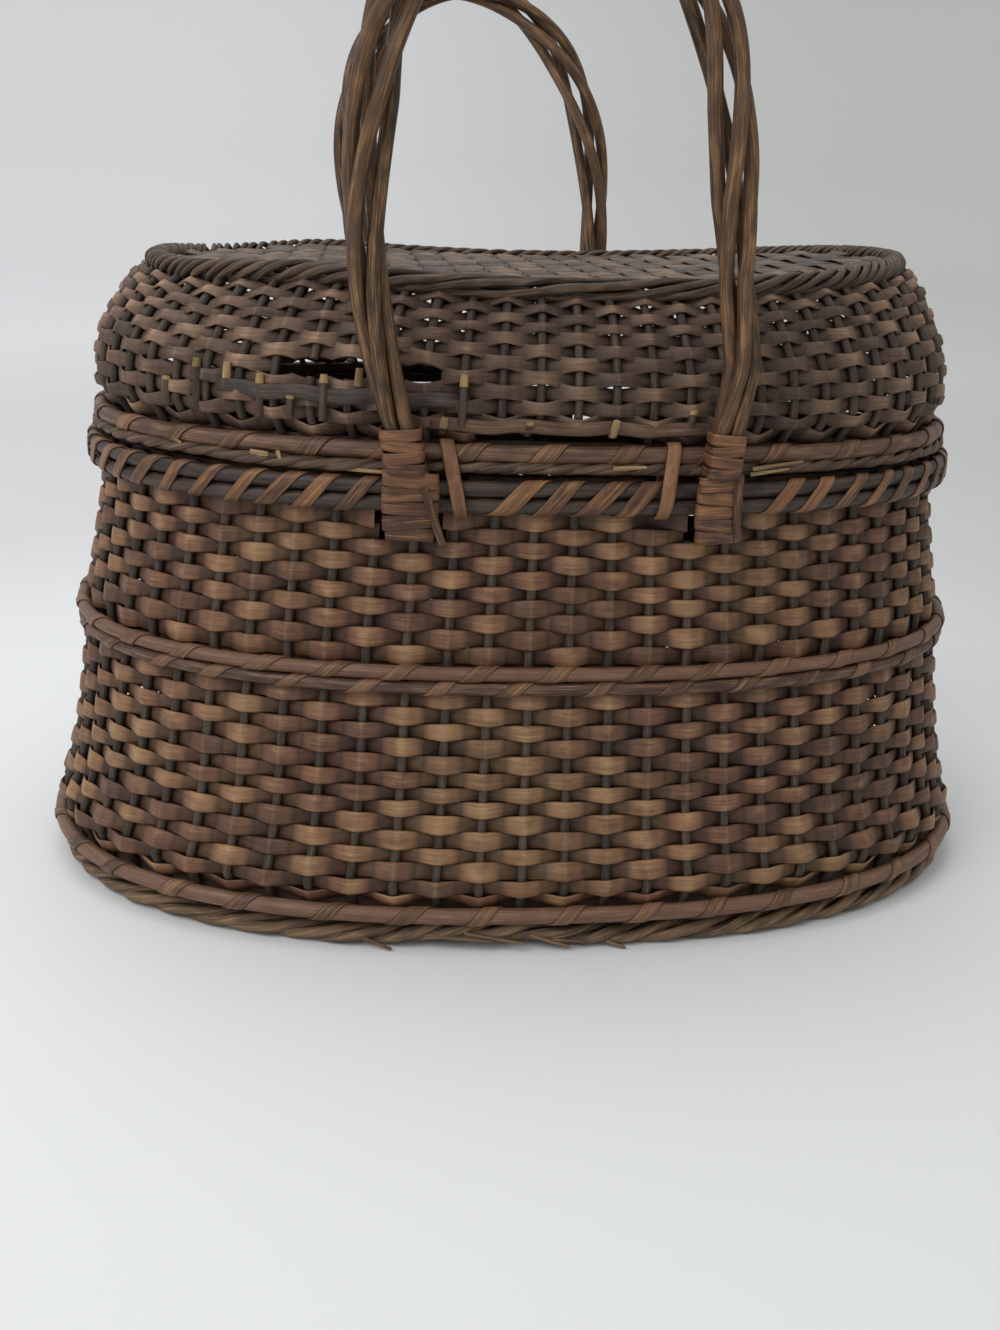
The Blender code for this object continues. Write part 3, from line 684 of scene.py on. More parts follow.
foot_strand = rod_finish("foot_strand", (48, 37, 30), (98, 76, 59), (160, 128, 92), 0.55, 0.6, 1.2,
                         ridge_highlight=0.35)
straw = rod_finish("straw", (104, 80, 52), (150, 122, 82), (196, 168, 122), 0.7, 0.6)
foot_length, foot_width, _ = cad_ring("foot_border")
lines = Lines()
ring_line(lines, (foot_length - foot_inset, foot_width - foot_inset, foot_middle),
          lambda share: foot_lay * share, raise_foot)
shape("foot_strands", lines, rope_tree, rope_sizes, foot_strand, "basket", ("foot_border",))
lines = Lines()
for number, (start, end) in enumerate(frayed_ends):
    shares = np.linspace(0, 1, 8)
    x, z = straight(start, end, shares)
    y = -oval_y(foot_length, foot_width, x) + frayed_inset - frayed_reach * shares
    swept_line(lines, np.stack([x, y, z], -1), (0, 0, 1.0), frayed_breadth - frayed_taper * shares,
               frayed_thin, number)
shape("foot_frayed_ends", lines, rod_tree, end_sizes, foot_strand, "basket", ())

# The base panel is woven from flat reed inside the foot of the wall: long reeds that run along the
# basket, crossed by shorter ones.

flat_weave = {**weave_sizes, "Reed Width": 0.0098, "Reed Thickness": 0.0010, "Stake Radius": 0.0004,
              "Tilt": 0.02}
base_height, base_gaps = 0.0105, (0.0100, 0.0130)
panel_steps, panel_seeds, end_trim, slope_step = (0.0035, 0.0018), (0, 60), 0.3, 0.001
row_clearance = 0.49


def woven_panel(name, panel, height, lift, gaps, material, body, replaced):
    """A flat plain weave inside an oval: rows along X, and crossing strips that pass the other way."""
    lines = Lines()
    for crossing in (0, 1):
        gap, side, end = gaps[crossing], panel[1 - crossing], panel[crossing]
        count = int(side / gap - row_clearance)
        for number in range(-count, count + 1):
            middle = number * gap
            reach = oval_y(side, end, abs(middle) + end_trim * gap)
            run = np.linspace(-reach, reach, max(4, int(2 * reach / panel_steps[crossing])))
            level = np.full(len(run), middle)
            x, y = (level, run) if crossing else (run, level)
            heights = np.full(len(run), height)
            z = lift(heights, x)
            slope = (lift(heights, x + slope_step) - z) / slope_step
            facing = unit(np.stack([-slope, 0 * x, 1 + 0 * x], -1))
            phase = pi * (run / gaps[1 - crossing] + number + crossing)
            lines.add(np.stack([x, y, z], -1), False, outward=facing, upward=(crossing, 1 - crossing, 0),
                      phase=phase, row=panel_seeds[crossing] + number,
                      breadth=gap / flat_weave["Reed Width"])
    shape(name, lines, weave_tree, flat_weave, material, body, replaced)


panel_reed = reed_finish("panel_reed", (66, 50, 40), (98, 78, 62), (120, 96, 72), (132, 104, 78),
                         (0.0, 0.0, 0.1, 0.0), 0.6)
woven_panel("base_weave", cad_ring("base_panel")[:2], base_height, lambda heights, x: heights, base_gaps,
            panel_reed, "basket", ("base_panel",))

# The base hoop and the two waist hoops are split rods that lie outside the stakes. A strip of flat
# cane binds each one: it crosses the front on a slant and goes in behind the stakes.

# Each hoop's radius, the sides of its solid, how many strips bind it and the share of a step at which
# they start, and the numbers that set the grain of its rod and of its first strip.
hoops = {"base_hoop": (0.0030, 8, 36, 0.2, 3, 0), "waist_hoop_lower": (0.00225, 6, 36, 0.6, 4, 40),
         "waist_hoop_upper": (0.0025, 6, 36, 0.1, 5, 80)}
hoop_strip = {"half": 0.0038, "slant": 0.0150, "thickness": 0.0006}
strip_seat, strip_shift = 0.4, 0.37
strip_sizes = {"Squareness": 0.55, "Sides": 10}
rod_sizes = {"Squareness": 1.0, "Sides": 14}
hoop_steps, girth_steps, wound_turn, wound_steps = 360, 720, 165, (17, 19)
place_range, slant_range, breadth_range = (-0.10, 0.10), (0.85, 1.15), (0.84, 1.14)


def hoop_rod(lines, ring, radius, strand):
    place, _, outward = oval_ring(ring, np.arange(hoop_steps) / hoop_steps)
    swept_line(lines, place, outward, radius, radius, strand, True)


def wound_strips(lines, ring, radius, stack, count, strip, strand, start=0.0, gaps=(), broaden=None):
    """Strips bound round a rod, or round two stacked ones: each crosses the front on a slant."""
    girth = step_lengths(oval_ring(ring, np.linspace(0, 1, girth_steps + 1))[0]).sum()
    turn = np.radians(np.linspace(-wound_turn, wound_turn, wound_steps[stack > 0]))
    reach = radius + strip["thickness"] * strip_seat
    out, up = np.cos(turn) * reach, np.sign(turn) * stack + np.sin(turn) * reach
    run = travelled(np.hypot(np.diff(out), np.diff(up)))
    run = run / run[-1] - 0.5
    random = np.random.default_rng(7 + strand)
    for number in range(count):
        middle_share = (number + start + random.uniform(*place_range)) / count
        share = middle_share + run * strip["slant"] * random.uniform(*slant_range) / girth
        half = strip["half"] * random.uniform(*breadth_range)
        base, along, outward = oval_ring(ring, share)
        spot = base[len(base) // 2]
        if any(abs(spot[0] - x) < half_gap and spot[1] * side > 0 for x, half_gap, side in gaps):
            continue
        if broaden is not None:
            half = half * broaden(spot)
        place = base + outward * out[:, None]
        place[:, 2] = ring[2] + up
        away = outward * np.cos(turn)[:, None] + np.array([0, 0, 1.0]) * np.sin(turn)[:, None]
        travel = travelled(step_lengths(place)) + number * strip_shift
        lines.add(place, False, across=along, out=away, half_width=half, half_depth=strip["thickness"] / 2,
                  travel=travel, strand=strand + number)


hoop_cane = rod_finish("hoop_cane", (62, 43, 34), (104, 75, 59), (134, 102, 78), 0.45)
binding_cane = rod_finish("binding_cane", (70, 48, 36), (112, 80, 59), (146, 110, 74), 0.45, edge_shade=0.5)


def bound_hoop(node, body, radius, sides, count, start, rod_strand, first_strand):
    """A rod where the frame has it and the strips that bind it, as two pieces. Gives the rod's ring."""
    ring = cad_ring(node, radius, sides)
    lines = Lines()
    hoop_rod(lines, ring, radius, rod_strand)
    shape(node + "_rod", lines, rod_tree, rod_sizes, hoop_cane, body, (node,))
    lines = Lines()
    wound_strips(lines, ring, radius, 0.0, count, hoop_strip, first_strand, start)
    shape(node + "_binding", lines, rod_tree, strip_sizes, binding_cane, body, ())
    return ring


for node, values in hoops.items():
    bound_hoop(node, "basket", *values)

# The upper wall is the same weave on the same stakes. The handles' loops and the lid's two ties pass
# through openings in its top rows.

upper_stations = [(.1001, .1707, .1109), (.1070, .1710, .1106), (.1250, .1679, .1096), (.1460, .1640, .1088),
                  (.1560, .1626, .1086), (.1693, .1622, .1086)]
upper_rows, upper_span, upper_stake_span = 10, (0.1046, 0.1588), (0.1000, 0.1692)
upper_flat_rows = ((30, 0.1024), (31, 0.1615), (32, 0.1665))
near_openings, far_opening, tie_opening = ((-0.0022, 0.0106), (0.0, 0.0081)), 0.0082, 0.0048
near_sill, other_sill, above_wall = 0.1480, 0.1525, 1.0


def middles_x(*nodes):
    return tuple((low.x + high.x) / 2 for low, high in map(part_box, nodes))


near_legs = middles_x("near_lashing_left", "near_lashing_right")
far_legs = middles_x("far_lashing_left", "far_lashing_right")
tie_places = middles_x("hinge_tie_left", "hinge_tie_right")
openings = [(x + shift, half, -1) for x, (shift, half) in zip(near_legs, near_openings)]
openings += [(x, far_opening, 1) for x in far_legs] + [(x, tie_opening, -1) for x in tie_places]
open_rows = {8: openings[:2], 9: openings[:4], 31: openings, 32: openings}
upper_wall = Wall(upper_stations)
sills = [near_sill] * 2 + [other_sill] * 4
short_stakes = [(*opening, sill, above_wall) for opening, sill in zip(openings, sills)]
woven_wall("upper", upper_wall, upper_wall.rows(upper_span, upper_rows, 5), upper_flat_rows, stake_count,
           upper_stake_span, weave_sizes, body_reed, "basket", open_rows, short_stakes)

# The rim is two dark rods, one on the other, outside the top of the wall. Strips of flat cane bind
# them to it on a slant, broader between the two handle legs.

rim_radius, binding_count = 0.00265, 68
rim_strip = {"half": 0.0031, "slant": 0.0190, "thickness": 0.0007}
leg_clearance, tie_clearance = 0.007, 0.004
broad_gain, broad_middle, broad_half = 0.30, 0.010, 0.055


def broad_front(spot):
    """The binding is broadest right of the middle of the front."""
    return 1 + broad_gain * front_stretch(spot, broad_middle, broad_half, 2)


dark_rod = rod_finish("dark_rod", (35, 28, 25), (57, 46, 40), (92, 72, 58), 0.45)
rim_cane = rod_finish("rim_cane", (66, 44, 33), (114, 78, 53), (158, 114, 70), 0.42, edge_shade=0.45)
rim_low, rim_high = cad_ring("rim_rod_lower", rim_radius, 6), cad_ring("rim_rod_upper", rim_radius, 6)
rim_middle = (rim_low[0], rim_low[1], (rim_low[2] + rim_high[2]) / 2)
lines = Lines()
hoop_rod(lines, rim_low, rim_radius, 10)
hoop_rod(lines, rim_high, rim_radius, 11)
shape("rim_rods", lines, rod_tree, rod_sizes, dark_rod, "basket", ("rim_rod_lower", "rim_rod_upper"))
lines = Lines()
clearances = [leg_clearance] * 4 + [tie_clearance] * 2
rim_gaps = [(x, half + clearance, side) for (x, half, side), clearance in zip(openings, clearances)]
wound_strips(lines, rim_middle, rim_radius, (rim_high[2] - rim_low[2]) / 2, binding_count, rim_strip, 200,
             0.0, rim_gaps, broad_front)
shape("rim_binding", lines, rod_tree, strip_sizes, rim_cane, "basket", ())

# The lid's wall is the same plain weave, greyer and drier, on about 70 thinner stakes. It swells out
# over its hoop and closes in to the top border. Its front has a crack, where a weaver has broken, and
# the middle of its long sides has sunk.

lid_stations = [(.1719, .1588, .1050), (.1815, .1592, .1054), (.1880, .1632, .1087), (.1950, .1634, .1092),
                (.2050, .1619, .1080), (.2130, .1588, .1058), (.2210, .1547, .1029), (.2310, .1495, .0988),
                (.2359, .1452, .0954)]
lid_stakes = 70
lid_span, lid_row_count, lid_taper, lid_stake_span = (0.1812, 0.2362), 12, 0.26, (0.1722, 0.2375)
lid_flat_rows = ((40, 0.1745), (41, 0.1790))
lid_top, lid_half_length, _ = lid_stations[-1]
lid_sag, sag_start, sag_power, sink_most = 0.0097, 0.183, 1.5, 1.2
left_drop, drop_start, drop_edge, drop_run = 0.0072, 0.205, -0.072, 0.066
crack_middle, crack_half, crack_height, crack_reach = -0.066, 0.0265, 0.2043, 0.024
low_gap_middle, low_gap_half, stake_inset = 0.002, 0.029, 0.003
slipped_rows = {1: 0.0017, 2: 0.0007, -1: -0.0006, -2: -0.0002}


def sunk_end(x):
    """The lid's left end has slumped: how much of it, from 0 to 1."""
    share = np.clip((drop_edge - x) / drop_run, 0, 1)
    return share * share * (3 - 2 * share)


def sink(heights, x, middle_share, end_share):
    """Heights lowered by the sunk middle of the long sides and by the slumped end."""
    middle = 1 - np.minimum(np.abs(x) / lid_half_length, sink_most) ** 2
    return heights - lid_sag * middle_share * middle - end_share * left_drop * sunk_end(x)


def lid_lift(heights, x):
    """The lid's wall sinks more, the higher up it is."""
    return sink(heights, x, np.clip((heights - sag_start) / (lid_top - sag_start), 0, sink_most) ** sag_power,
                np.clip((heights - drop_start) / (lid_top - drop_start), 0, sink_most))


def lid_bend(row, place):
    """Weavers that have slipped away from the crack."""
    return front_stretch(place, crack_middle, crack_reach) * slipped_rows.get(row - crack_row, 0.0)


lid_reed = reed_finish("lid_reed", (70, 55, 46), (110, 82, 66), (114, 95, 74), (160, 126, 98),
                       (0.03, 0.05, 0.13, 0.30), 0.55, 0.35)
lid_wall = Wall(lid_stations, lid_lift)
lid_weave = {**weave_sizes, "Reed Width": 0.0064, "Crest Share": 0.30, "Side Share": 0.475,
             "Stake Radius": 0.0015, "Peak": 0.14, "Wobble": 0.0008, "Tilt": 0.16, "Seed": 11.0}
lid_rows = lid_wall.rows(lid_span, lid_row_count, 9, lid_taper)
crack_row = int(np.argmin([abs(height - crack_height) for height, _ in lid_rows]))
lid_gaps = {crack_row: [(crack_middle, crack_half, -1)], 0: [(low_gap_middle, low_gap_half, -1)]}
cracked = [(crack_middle, crack_half - stake_inset, -1, 0.2020, 0.2085),
           (low_gap_middle, low_gap_half - stake_inset, -1, 0.1760, 0.1868)]
woven_wall("lid", lid_wall, lid_rows, lid_flat_rows, lid_stakes, lid_stake_span, lid_weave, lid_reed, "lid",
           lid_gaps, cracked, lid_bend)

# Old damage on the lid's front: a dark weaver lies over the stakes under the crack, and pale ends of
# broken stakes and weavers stand out beside it.

# Each broken end's X, height, length and lean, and the share of it at which its pale tip starts.
broken_ends = [(-0.1200, 0.1875, 0.0170, 0.0010, 0.85), (-0.1094, 0.1965, 0.0080, 0.0010, 0.35),
               (-0.0985, 0.1870, 0.0145, 0.0008, 0.80), (-0.0775, 0.1870, 0.0160, 0.0008, 0.85),
               (-0.0660, 0.1985, 0.0080, 0.0014, 0.20), (-0.0323, 0.1870, 0.0185, 0.0008, 0.80),
               (-0.0885, 0.1880, 0.0070, 0.0006, 0.90), (-0.0385, 0.1845, 0.0055, 0.0016, 0.45),
               (-0.0105, 0.1845, 0.0045, 0.0016, 0.90), (0.0180, 0.1842, 0.0060, 0.0018, 0.05),
               (-0.1310, 0.1880, 0.0090, 0.0006, 0.90), (0.0440, 0.1850, 0.0090, 0.0010, 0.90)]
end_half, end_thin, end_out, end_drift = (0.0014, 0.0011), 0.0008, 0.0026, 0.0006
pale_extra, pale_reach = 0.0001, 1.04
weaver_thin, weaver_out, weaver_tuck, weaver_taper = 0.0008, 0.0026, 0.0030, 0.0006
rise_wave, out_wave = (0.0005, 23), (0.0007, 37)


def lid_front(x, height, out):
    """A place a little way in front of the lid's near wall."""
    half_length = np.interp(height, lid_wall.known, lid_wall.lengths)
    half_width = np.interp(height, lid_wall.known, lid_wall.widths)
    return np.array([x, -oval_y(half_length, half_width, x) - out, lid_lift(height, x)])


grey_weaver = rod_finish("grey_weaver", (36, 30, 27), (60, 51, 45), (90, 76, 66), 0.55)
brown_weaver = rod_finish("brown_weaver", (52, 38, 31), (88, 64, 50), (120, 92, 70), 0.5)
front_weavers = {"lid_dark_weaver": ((-0.113, 0.1965), (-0.030, 0.1960), 0.0025, grey_weaver),
                 "lid_front_weaver": ((-0.0450, 0.1876), (0.0560, 0.1868), 0.0023, brown_weaver)}
shares = np.linspace(0, 1, 60)
for name, (start, end, half, material) in front_weavers.items():
    x, height = straight(start, end, shares)
    height = height + rise_wave[0] * np.sin(shares * rise_wave[1])
    out = weaver_out + out_wave[0] * np.sin(shares * out_wave[1]) - weaver_tuck * (2 * shares - 1) ** 12
    lines = Lines()
    places = [lid_front(*place) for place in zip(x, height, out)]
    swept_line(lines, places, (0, 0, 1.0), half - weaver_taper * (2 * shares - 1) ** 8, weaver_thin, 5)
    shape(name, lines, rod_tree, strip_sizes, material, "lid", ())
for name, material, extra in (("lid_broken_stakes", stake_wood, 0.0), ("lid_broken_tips", straw, pale_extra)):
    lines = Lines()
    for number, (x, height, length, lean, pale) in enumerate(broken_ends):
        shares = np.linspace(pale, pale_reach, 6) if extra else np.linspace(0.0, 1.0, 6)
        places = [lid_front(x + end_drift * share, height + length * share, end_out + lean * share)
                  for share in shares]
        swept_line(lines, places, (1.0, 0, 0), np.linspace(*end_half, 6) + extra, end_thin + extra, number)
    shape(name, lines, rod_tree, end_sizes, material, "lid", ())

# The lid's hoop is a bound rod outside the foot of the lid's stakes, and under it runs a loose border
# of thin twisted strands, which closes on the rim.

lid_hoop_radius, lid_binding_count = 0.0030, 34
edge_height, edge_lay = 0.1737, 22
loose_middle, loose_half, loose_drop, loose_out = -0.080, 0.030, 0.0007, 0.0016
straw_out, straw_lean, straw_taper, straw_thin = 0.0098, 0.0006, 0.0003, 0.0004
# The ends' starts and ends, each as X and height, and their half widths.
loose_ends = [((-0.1310, 0.1772), (-0.1255, 0.1752), 0.0009), ((-0.1015, 0.1752), (-0.0955, 0.1752), 0.0011),
              ((-0.0925, 0.1765), (-0.0915, 0.1738), 0.0010), ((-0.0700, 0.1722), (-0.0560, 0.1716), 0.0008),
              ((0.0665, 0.1740), (0.0850, 0.1762), 0.0007), ((0.0660, 0.1722), (0.0800, 0.1738), 0.0007),
              ((0.0180, 0.1745), (0.0290, 0.1752), 0.0008)]
edge_sizes = {**rope_sizes, "Reach": 0.0028, "Rise": 0.0011, "Strand Radius": 0.00135, "Looseness": 0.0014,
              "Seed": 4.0}
dark_strand = rod_finish("dark_strand", (30, 22, 18), (72, 53, 42), (128, 102, 76), 0.5, 0.6, 1.3, ridge_highlight=0.2)
lid_hoop = bound_hoop("lid_hoop", "lid", lid_hoop_radius, 8, lid_binding_count, 0.4, 6, 140)


def droop(place):
    """The border has come loose and hangs a little in front of the rim at the left."""
    loose = front_stretch(place, loose_middle, loose_half)
    place[:, 2] -= loose_drop * loose
    place[:, 1] -= loose_out * loose
    return place


lines = Lines()
ring_line(lines, (*lid_hoop[:2], edge_height), lambda share: edge_lay * share, droop)
shape("lid_edge_strands", lines, rope_tree, edge_sizes, dark_strand, "lid", ("lid_edge_border",))
lines = Lines()
for number, (start, end, half) in enumerate(loose_ends):
    shares = np.linspace(0, 1, 8)
    out = straw_out + straw_lean * shares
    places = [lid_front(*place) for place in zip(*straight(start, end, shares), out)]
    swept_line(lines, places, (0, 0, 1.0), half - straw_taper * shares ** 2, straw_thin, number)
shape("lid_edge_loose_ends", lines, rod_tree, end_sizes, straw, "lid", ())

# The lid's top border is a rope of willow strands round the top panel, a flat weave of wide reeds whose
# ends lie on a thin lining ring. All sag with the lid, and the rope lies nearly straight along the front.

border_radius = 0.0038
top_sizes = {**rope_sizes, "Strands": 5, "Reach": 0.0030, "Rise": 0.0029, "Strand Radius": 0.00133,
             "Looseness": 0.0016, "Seed": 7.0}
top_inset, top_rise, top_gaps = 0.0055, 0.0010, (0.0197, 0.0122)
top_turns, end_turns, front_turns = 24, 1.0, 1.2
lining_inset, lining_drop, lining_half, lining_thin, lining_steps = 0.0088, 0.0018, 0.0062, 0.0005, 240


def top_lift(heights, x):
    return sink(heights, x, 1.0, 1.0)


def sink_border(place):
    place[:, 2] = top_lift(place[:, 2], place[:, 0])
    return place


def top_lay(share):
    """The strands turn faster round the two ends, and hardly along the front."""
    return (top_turns * share + end_turns * np.sin(4 * pi * share)
            - front_turns * (np.cos(2 * pi * share) - 1))


top_reed = reed_finish("top_reed", (50, 42, 36), (82, 67, 56), (104, 84, 66), (128, 104, 82),
                       (0.0, 0.0, 0.1, 0.0), 0.6, 0.25)
border_length, border_width, _ = cad_ring("lid_top_border", border_radius)
border_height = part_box("lid_top_border")[1].z - border_radius * cos(pi / 8)
lines = Lines()
ring_line(lines, (border_length, border_width, border_height), top_lay, sink_border)
shape("lid_top_strands", lines, rope_tree, top_sizes, dark_strand, "lid", ("lid_top_border",))
woven_panel("lid_top_weave", (border_length - top_inset, border_width - top_inset), border_height + top_rise,
            top_lift, top_gaps, top_reed, "lid", ("lid_top_panel",))
lining = (border_length - lining_inset, border_width - lining_inset, border_height - lining_drop)
place, _, outward = oval_ring(lining, np.arange(lining_steps) / lining_steps)
lines = Lines()
swept_line(lines, sink_border(place), outward, lining_half, lining_thin, 0, True)
shape("lid_top_lining", lines, rod_tree, strip_sizes, dark_strand, "lid", ())

# Two loose cane ties go round the lid's hoop and the rim rods. They are the lid's hinge.

tie_low, tie_high, tie_half, tie_thin = 0.0067, 0.0042, 0.0024, 0.0005
tie_slants, tie_seam, tie_run = (-0.0024, 0.0018), 0.1720, 0.012
half_span = (near_legs[1] - near_legs[0]) / 2
axis_y = oval_y(rim_middle[0], rim_middle[1], half_span)
axis_z = rim_middle[2]
tie_cane = rod_finish("tie_cane", (80, 54, 38), (120, 84, 58), (152, 114, 78), 0.42, edge_shade=0.4)


def tie_line(lines, x, slant, strand):
    """A belt round the rim rods and the hoop that leans to one side."""
    hoop_y = -oval_y(lid_hoop[0], lid_hoop[1], x)
    run_y, run_z = hoop_y + axis_y, lid_hoop[2] - axis_z
    heading = np.arctan2(run_z, run_y)
    half_open = np.arccos((tie_low - tie_high) / np.hypot(run_y, run_z))
    low = heading + half_open + np.linspace(0, 2 * pi - 2 * half_open, 22)
    high = heading - half_open + np.linspace(0, 2 * half_open, 14)
    y = np.concatenate([-axis_y + tie_low * np.cos(low), hoop_y + tie_high * np.cos(high)])
    z = np.concatenate([axis_z + tie_low * np.sin(low), lid_hoop[2] + tie_high * np.sin(high)])
    lean = x + slant * (z - tie_seam) / tie_run
    swept_line(lines, np.stack([lean, y, z], -1), (1.0, 0, 0), tie_half, tie_thin, strand, True)


lines = Lines()
for number, (x, slant) in enumerate(zip(tie_places, tie_slants)):
    tie_line(lines, x, slant, number + 1)
shape("hinge_ties", lines, rod_tree, strip_sizes, tie_cane, "lid", ("hinge_tie_left", "hinge_tie_right"))

# Each handle is four willow rods, twisted loosely over the arch. The two front rods are shaved flat at
# both ends and turn round the rim. Cane binds the four together above it and covers the loops' fronts.

lash_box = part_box("near_lashing_left")
lash_low, lash_high = lash_box[0].z, lash_box[1].z
lash_reach, lash_band = 0.0056, (lash_high - lash_low) / 4
band_half, wrap_half, tail_half, lash_thin = 0.0020, 0.0027, 0.0014, 0.00045
apex, spread_out, sway, lean, twist = 0.3450, 0.0330, -0.0160, radians(4.0), 4
rod_radius, bundle, opening = 0.0024, 0.0034, 0.0022
leg_reach = abs((lash_box[0].y + lash_box[1].y) / 2) - axis_y
ring_reach, strip_half, strip_thin, strip_gap = 0.00675, 0.0030, 0.00065, 0.00015
arch_steps, loop_bends = 121, np.radians(np.linspace(0, 305, 26))
foot_start, plain_foot_drop = 0.003, 0.0008
# How flat a rod is, and how near its lashing, at three places on its way down to the rim.
flattening = ((0.30, 0.62), (0.62, 0.30), (0.86, 0.12))
handle_sizes = {"Squareness": 0.9, "Sides": 12}
# Each band over the loops' fronts: how far out from the rods' middle it lies, how far above it, how many
# degrees it faces up, and its half length.
near_wraps = [(0.0112, 0.0072, 8, 0.0070), (0.0104, 0.0026, 4, 0.0072), (0.0096, -0.0022, 0, 0.0072),
              (0.0089, -0.0070, -6, 0.0070), (0.0076, -0.0116, -20, 0.0062)]
far_wraps = [(0.0112, 0.0072, 8, 0.0066), (0.0100, 0.0030, 4, 0.0066), (0.0088, -0.0014, -4, 0.0066),
             (0.0076, -0.0050, -35, 0.0062)]
band_tilts, wrap_tilts = (0.06, -0.09, 0.12, -0.05), (0.10, -0.06, 0.08, -0.10, 0.05)
wrap_shares = np.array([-1.0, -1.0, -0.93, -0.7, -0.35, 0, 0.35, 0.7, 0.93, 1.0, 1.0])
wrap_backs = np.array([0.0026, 0.0014, 0.0005, 0.0001, 0, 0, 0, 0.0001, 0.0005, 0.0014, 0.0026])
drift_heights = (0.168, 0.176, 0.190, 0.210, 0.235, 0.260, 0.285, 0.320)
# How far each leg has moved along X at those heights.
drifts = {("near", 0): (-0.0030, -0.0050, -0.0070, -0.0064, -0.0050, -0.0025, 0.0, 0.0),
          ("near", 1): (-0.0005, 0.0, 0.0008, 0.0014, -0.0040, -0.0055, -0.0040, 0.0),
          ("far", 0): (0.0,) * len(drift_heights),
          ("far", 1): (0.0, -0.0010, -0.0030, -0.0035, -0.0030, -0.0020, -0.0010, 0.0)}
drift_start, drift_run = 0.171, 0.004
broad_leg, broad_share = ("near", 0), 1.16
# The near lashings' loose tails: X, distance out from the rods' middle and height, at both ends.
tails = [((-0.0448, 0.0128, 0.1690), (-0.0385, 0.0098, 0.1500)),
         ((0.0582, 0.0125, 0.1720), (0.0602, 0.0096, 0.1530))]


def drift(places, shift, prefix):
    """Move the places above the rim along X as their leg leans."""
    for leg in (0, 1):
        here = (places[:, 0] < shift) == (leg == 0)
        moved = np.interp(places[:, 2], drift_heights, drifts[prefix, leg])
        places[:, 0] += moved * here * np.clip((places[:, 2] - drift_start) / drift_run, 0, 1)
    return places


def handle_rod(lines, shift, side, rod, strand):
    """One rod from the left leg's foot over the arch to the right leg's foot."""
    pivot_y = side * axis_y
    leg_y = pivot_y + side * leg_reach
    start = pi / 4 + rod * pi / 2
    turn = np.linspace(0, pi, arch_steps)
    flare = half_span + spread_out * np.sin(turn)
    x = shift - np.cos(turn) * flare + sway * np.sin(turn)
    z = lash_high + (apex - lash_high) * np.sin(turn)
    y = leg_y + side * np.tan(lean) * (z - lash_high)
    slope_x = np.sin(turn) * flare + (sway - np.cos(turn) * spread_out) * np.cos(turn)
    slope_z = (apex - lash_high) * np.cos(turn)
    normal = unit(np.stack([-slope_z, 0 * x, slope_x], -1))
    normal[0], normal[-1] = (-1, 0, 0), (1, 0, 0)
    angle = start + twist * turn
    spread = bundle + opening * np.sin(2 * turn) ** 2
    outward = np.array([0, side, 0.0])
    arch = np.stack([x, y, z], -1)
    arch = arch + (normal * np.cos(angle)[:, None] + outward * np.sin(angle)[:, None]) * spread[:, None]
    whole = np.full(arch_steps, rod_radius)
    chains = {0: (arch, normal, whole, whole)}
    for leg_side in (-1, 1):
        leg_x = shift + leg_side * half_span
        place = np.array([leg_x, leg_y, 0]) + outward * np.sin(start) * bundle
        place[0] += leg_side * np.cos(start) * bundle
        loops = np.sin(start) > 0
        ends = np.linspace(lash_high - foot_start, lash_low if loops else lash_low - plain_foot_drop, 5)
        foot = [(place[0], place[1], height, rod_radius, rod_radius) for height in ends]
        if loops:
            strip_x = leg_x + (1 if place[0] > leg_x else -1) * (strip_half + strip_gap)
            front = pivot_y + side * ring_reach
            for flat, rise in flattening:
                foot.append((place[0] + (strip_x - place[0]) * flat, place[1] + (front - place[1]) * flat,
                             axis_z + (lash_low - axis_z) * rise,
                             rod_radius + (strip_half - rod_radius) * flat,
                             rod_radius + (strip_thin - rod_radius) * flat))
            foot += [(strip_x, pivot_y + side * ring_reach * np.cos(bend), axis_z - ring_reach * np.sin(bend),
                      strip_half, strip_thin) for bend in loop_bends]
        foot = np.array(foot)[::leg_side]
        across = np.tile((float(leg_side), 0, 0), (len(foot), 1))
        chains[leg_side] = (foot[:, :3], across, foot[:, 3], foot[:, 4])
    joined = zip(chains[-1], chains[0], chains[1])
    places, across, half, depth = (np.concatenate(parts) for parts in joined)
    swept_line(lines, drift(places, shift, "near" if side < 0 else "far"), across, half, depth, strand)


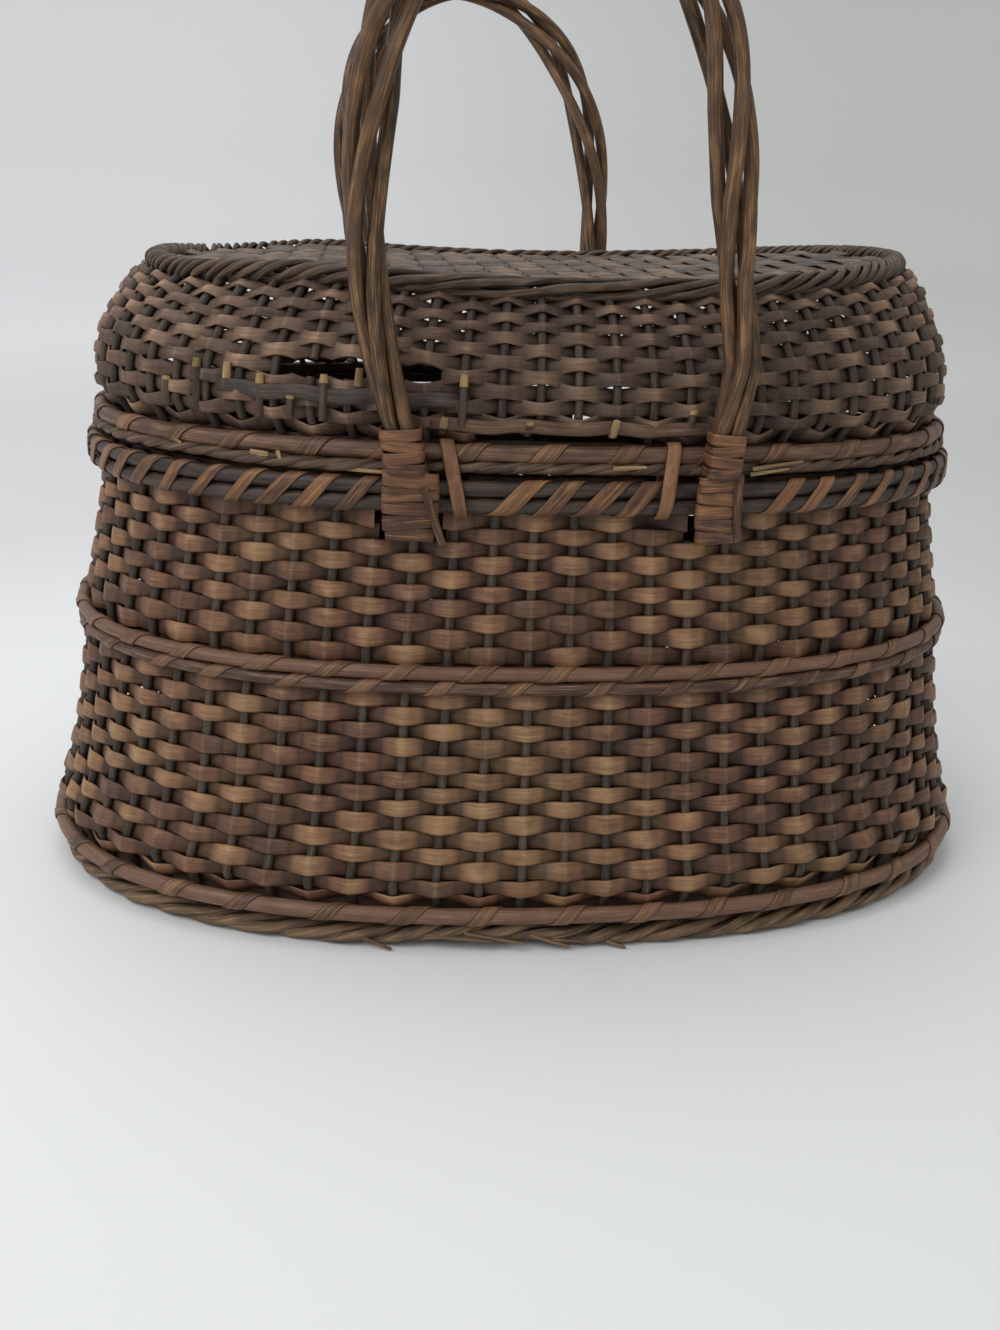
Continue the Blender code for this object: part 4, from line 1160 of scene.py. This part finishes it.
def lash_bands(lines, leg_x, side, wraps, strand, key):
    """Bands of cane round the four rods, then bands across the front of the loops."""
    centre_y = side * (axis_y + leg_reach)
    broad = broad_share if key == broad_leg else 1.0
    around = np.linspace(0, 2 * pi, 41)[:-1]
    for band, tilt in enumerate(band_tilts):
        middle = lash_low + (band + 0.5) * lash_band
        x = bulged(np.cos(around), 0.5) * lash_reach * broad
        y = bulged(np.sin(around), 0.5) * lash_reach
        z = middle + x * (tilt * np.sign(leg_x))
        x = x + np.interp(middle, drift_heights, drifts[key])
        swept_line(lines, np.stack([leg_x + x, centre_y + y, z], -1), (0, 0, 1.0), band_half, lash_thin,
                   strand + band, True)
    for band, ((out, rise, facing, half), tilt) in enumerate(zip(wraps, wrap_tilts)):
        x = leg_x + drifts[key][0] + wrap_shares * half * broad ** 1.5
        z = axis_z + rise + wrap_shares * half * (tilt * np.sign(leg_x))
        y = side * (axis_y + out - wrap_backs)
        tipped = radians(facing)
        across = (0, side * -np.sin(tipped), np.cos(tipped))
        swept_line(lines, np.stack([x, y, z], -1), across, wrap_half, lash_thin, strand + 10 + band)


willow = rod_finish("willow", (27, 20, 16), (64, 46, 36), (148, 110, 70), 0.36, 0.5, 1.7, ridge_highlight=0.3)
lash_cane = rod_finish("lash_cane", (56, 37, 28), (104, 70, 49), (150, 106, 64), 0.34, spread=1.4, edge_shade=0.6)
for prefix, side, legs, wraps in (("near", -1, near_legs, near_wraps), ("far", 1, far_legs, far_wraps)):
    lines = Lines()
    for rod in range(4):
        handle_rod(lines, (legs[0] + legs[1]) / 2, side, rod, rod + (5 if side > 0 else 0))
    shape(prefix + "_handle_rods", lines, rod_tree, handle_sizes, willow, prefix + "_handle",
          [prefix + "_handle_rod_" + str(rod + 1) for rod in range(4)])
    lines = Lines()
    for leg, leg_x in enumerate(legs):
        lash_bands(lines, leg_x, side, wraps, 30 * leg + (70 if side > 0 else 0), (prefix, leg))
    for number, ends in enumerate(tails if side < 0 else ()):
        start, end = ((x, side * (axis_y + out), z) for x, out, z in ends)
        places = straight(start, end, np.linspace(0, 1, 8)).T
        swept_line(lines, places, (1.0, 0, 0), tail_half, lash_thin, 140 + number)
    shape(prefix + "_lashings", lines, rod_tree, strip_sizes, lash_cane, prefix + "_handle",
          [prefix + "_lashing_left", prefix + "_lashing_right"])
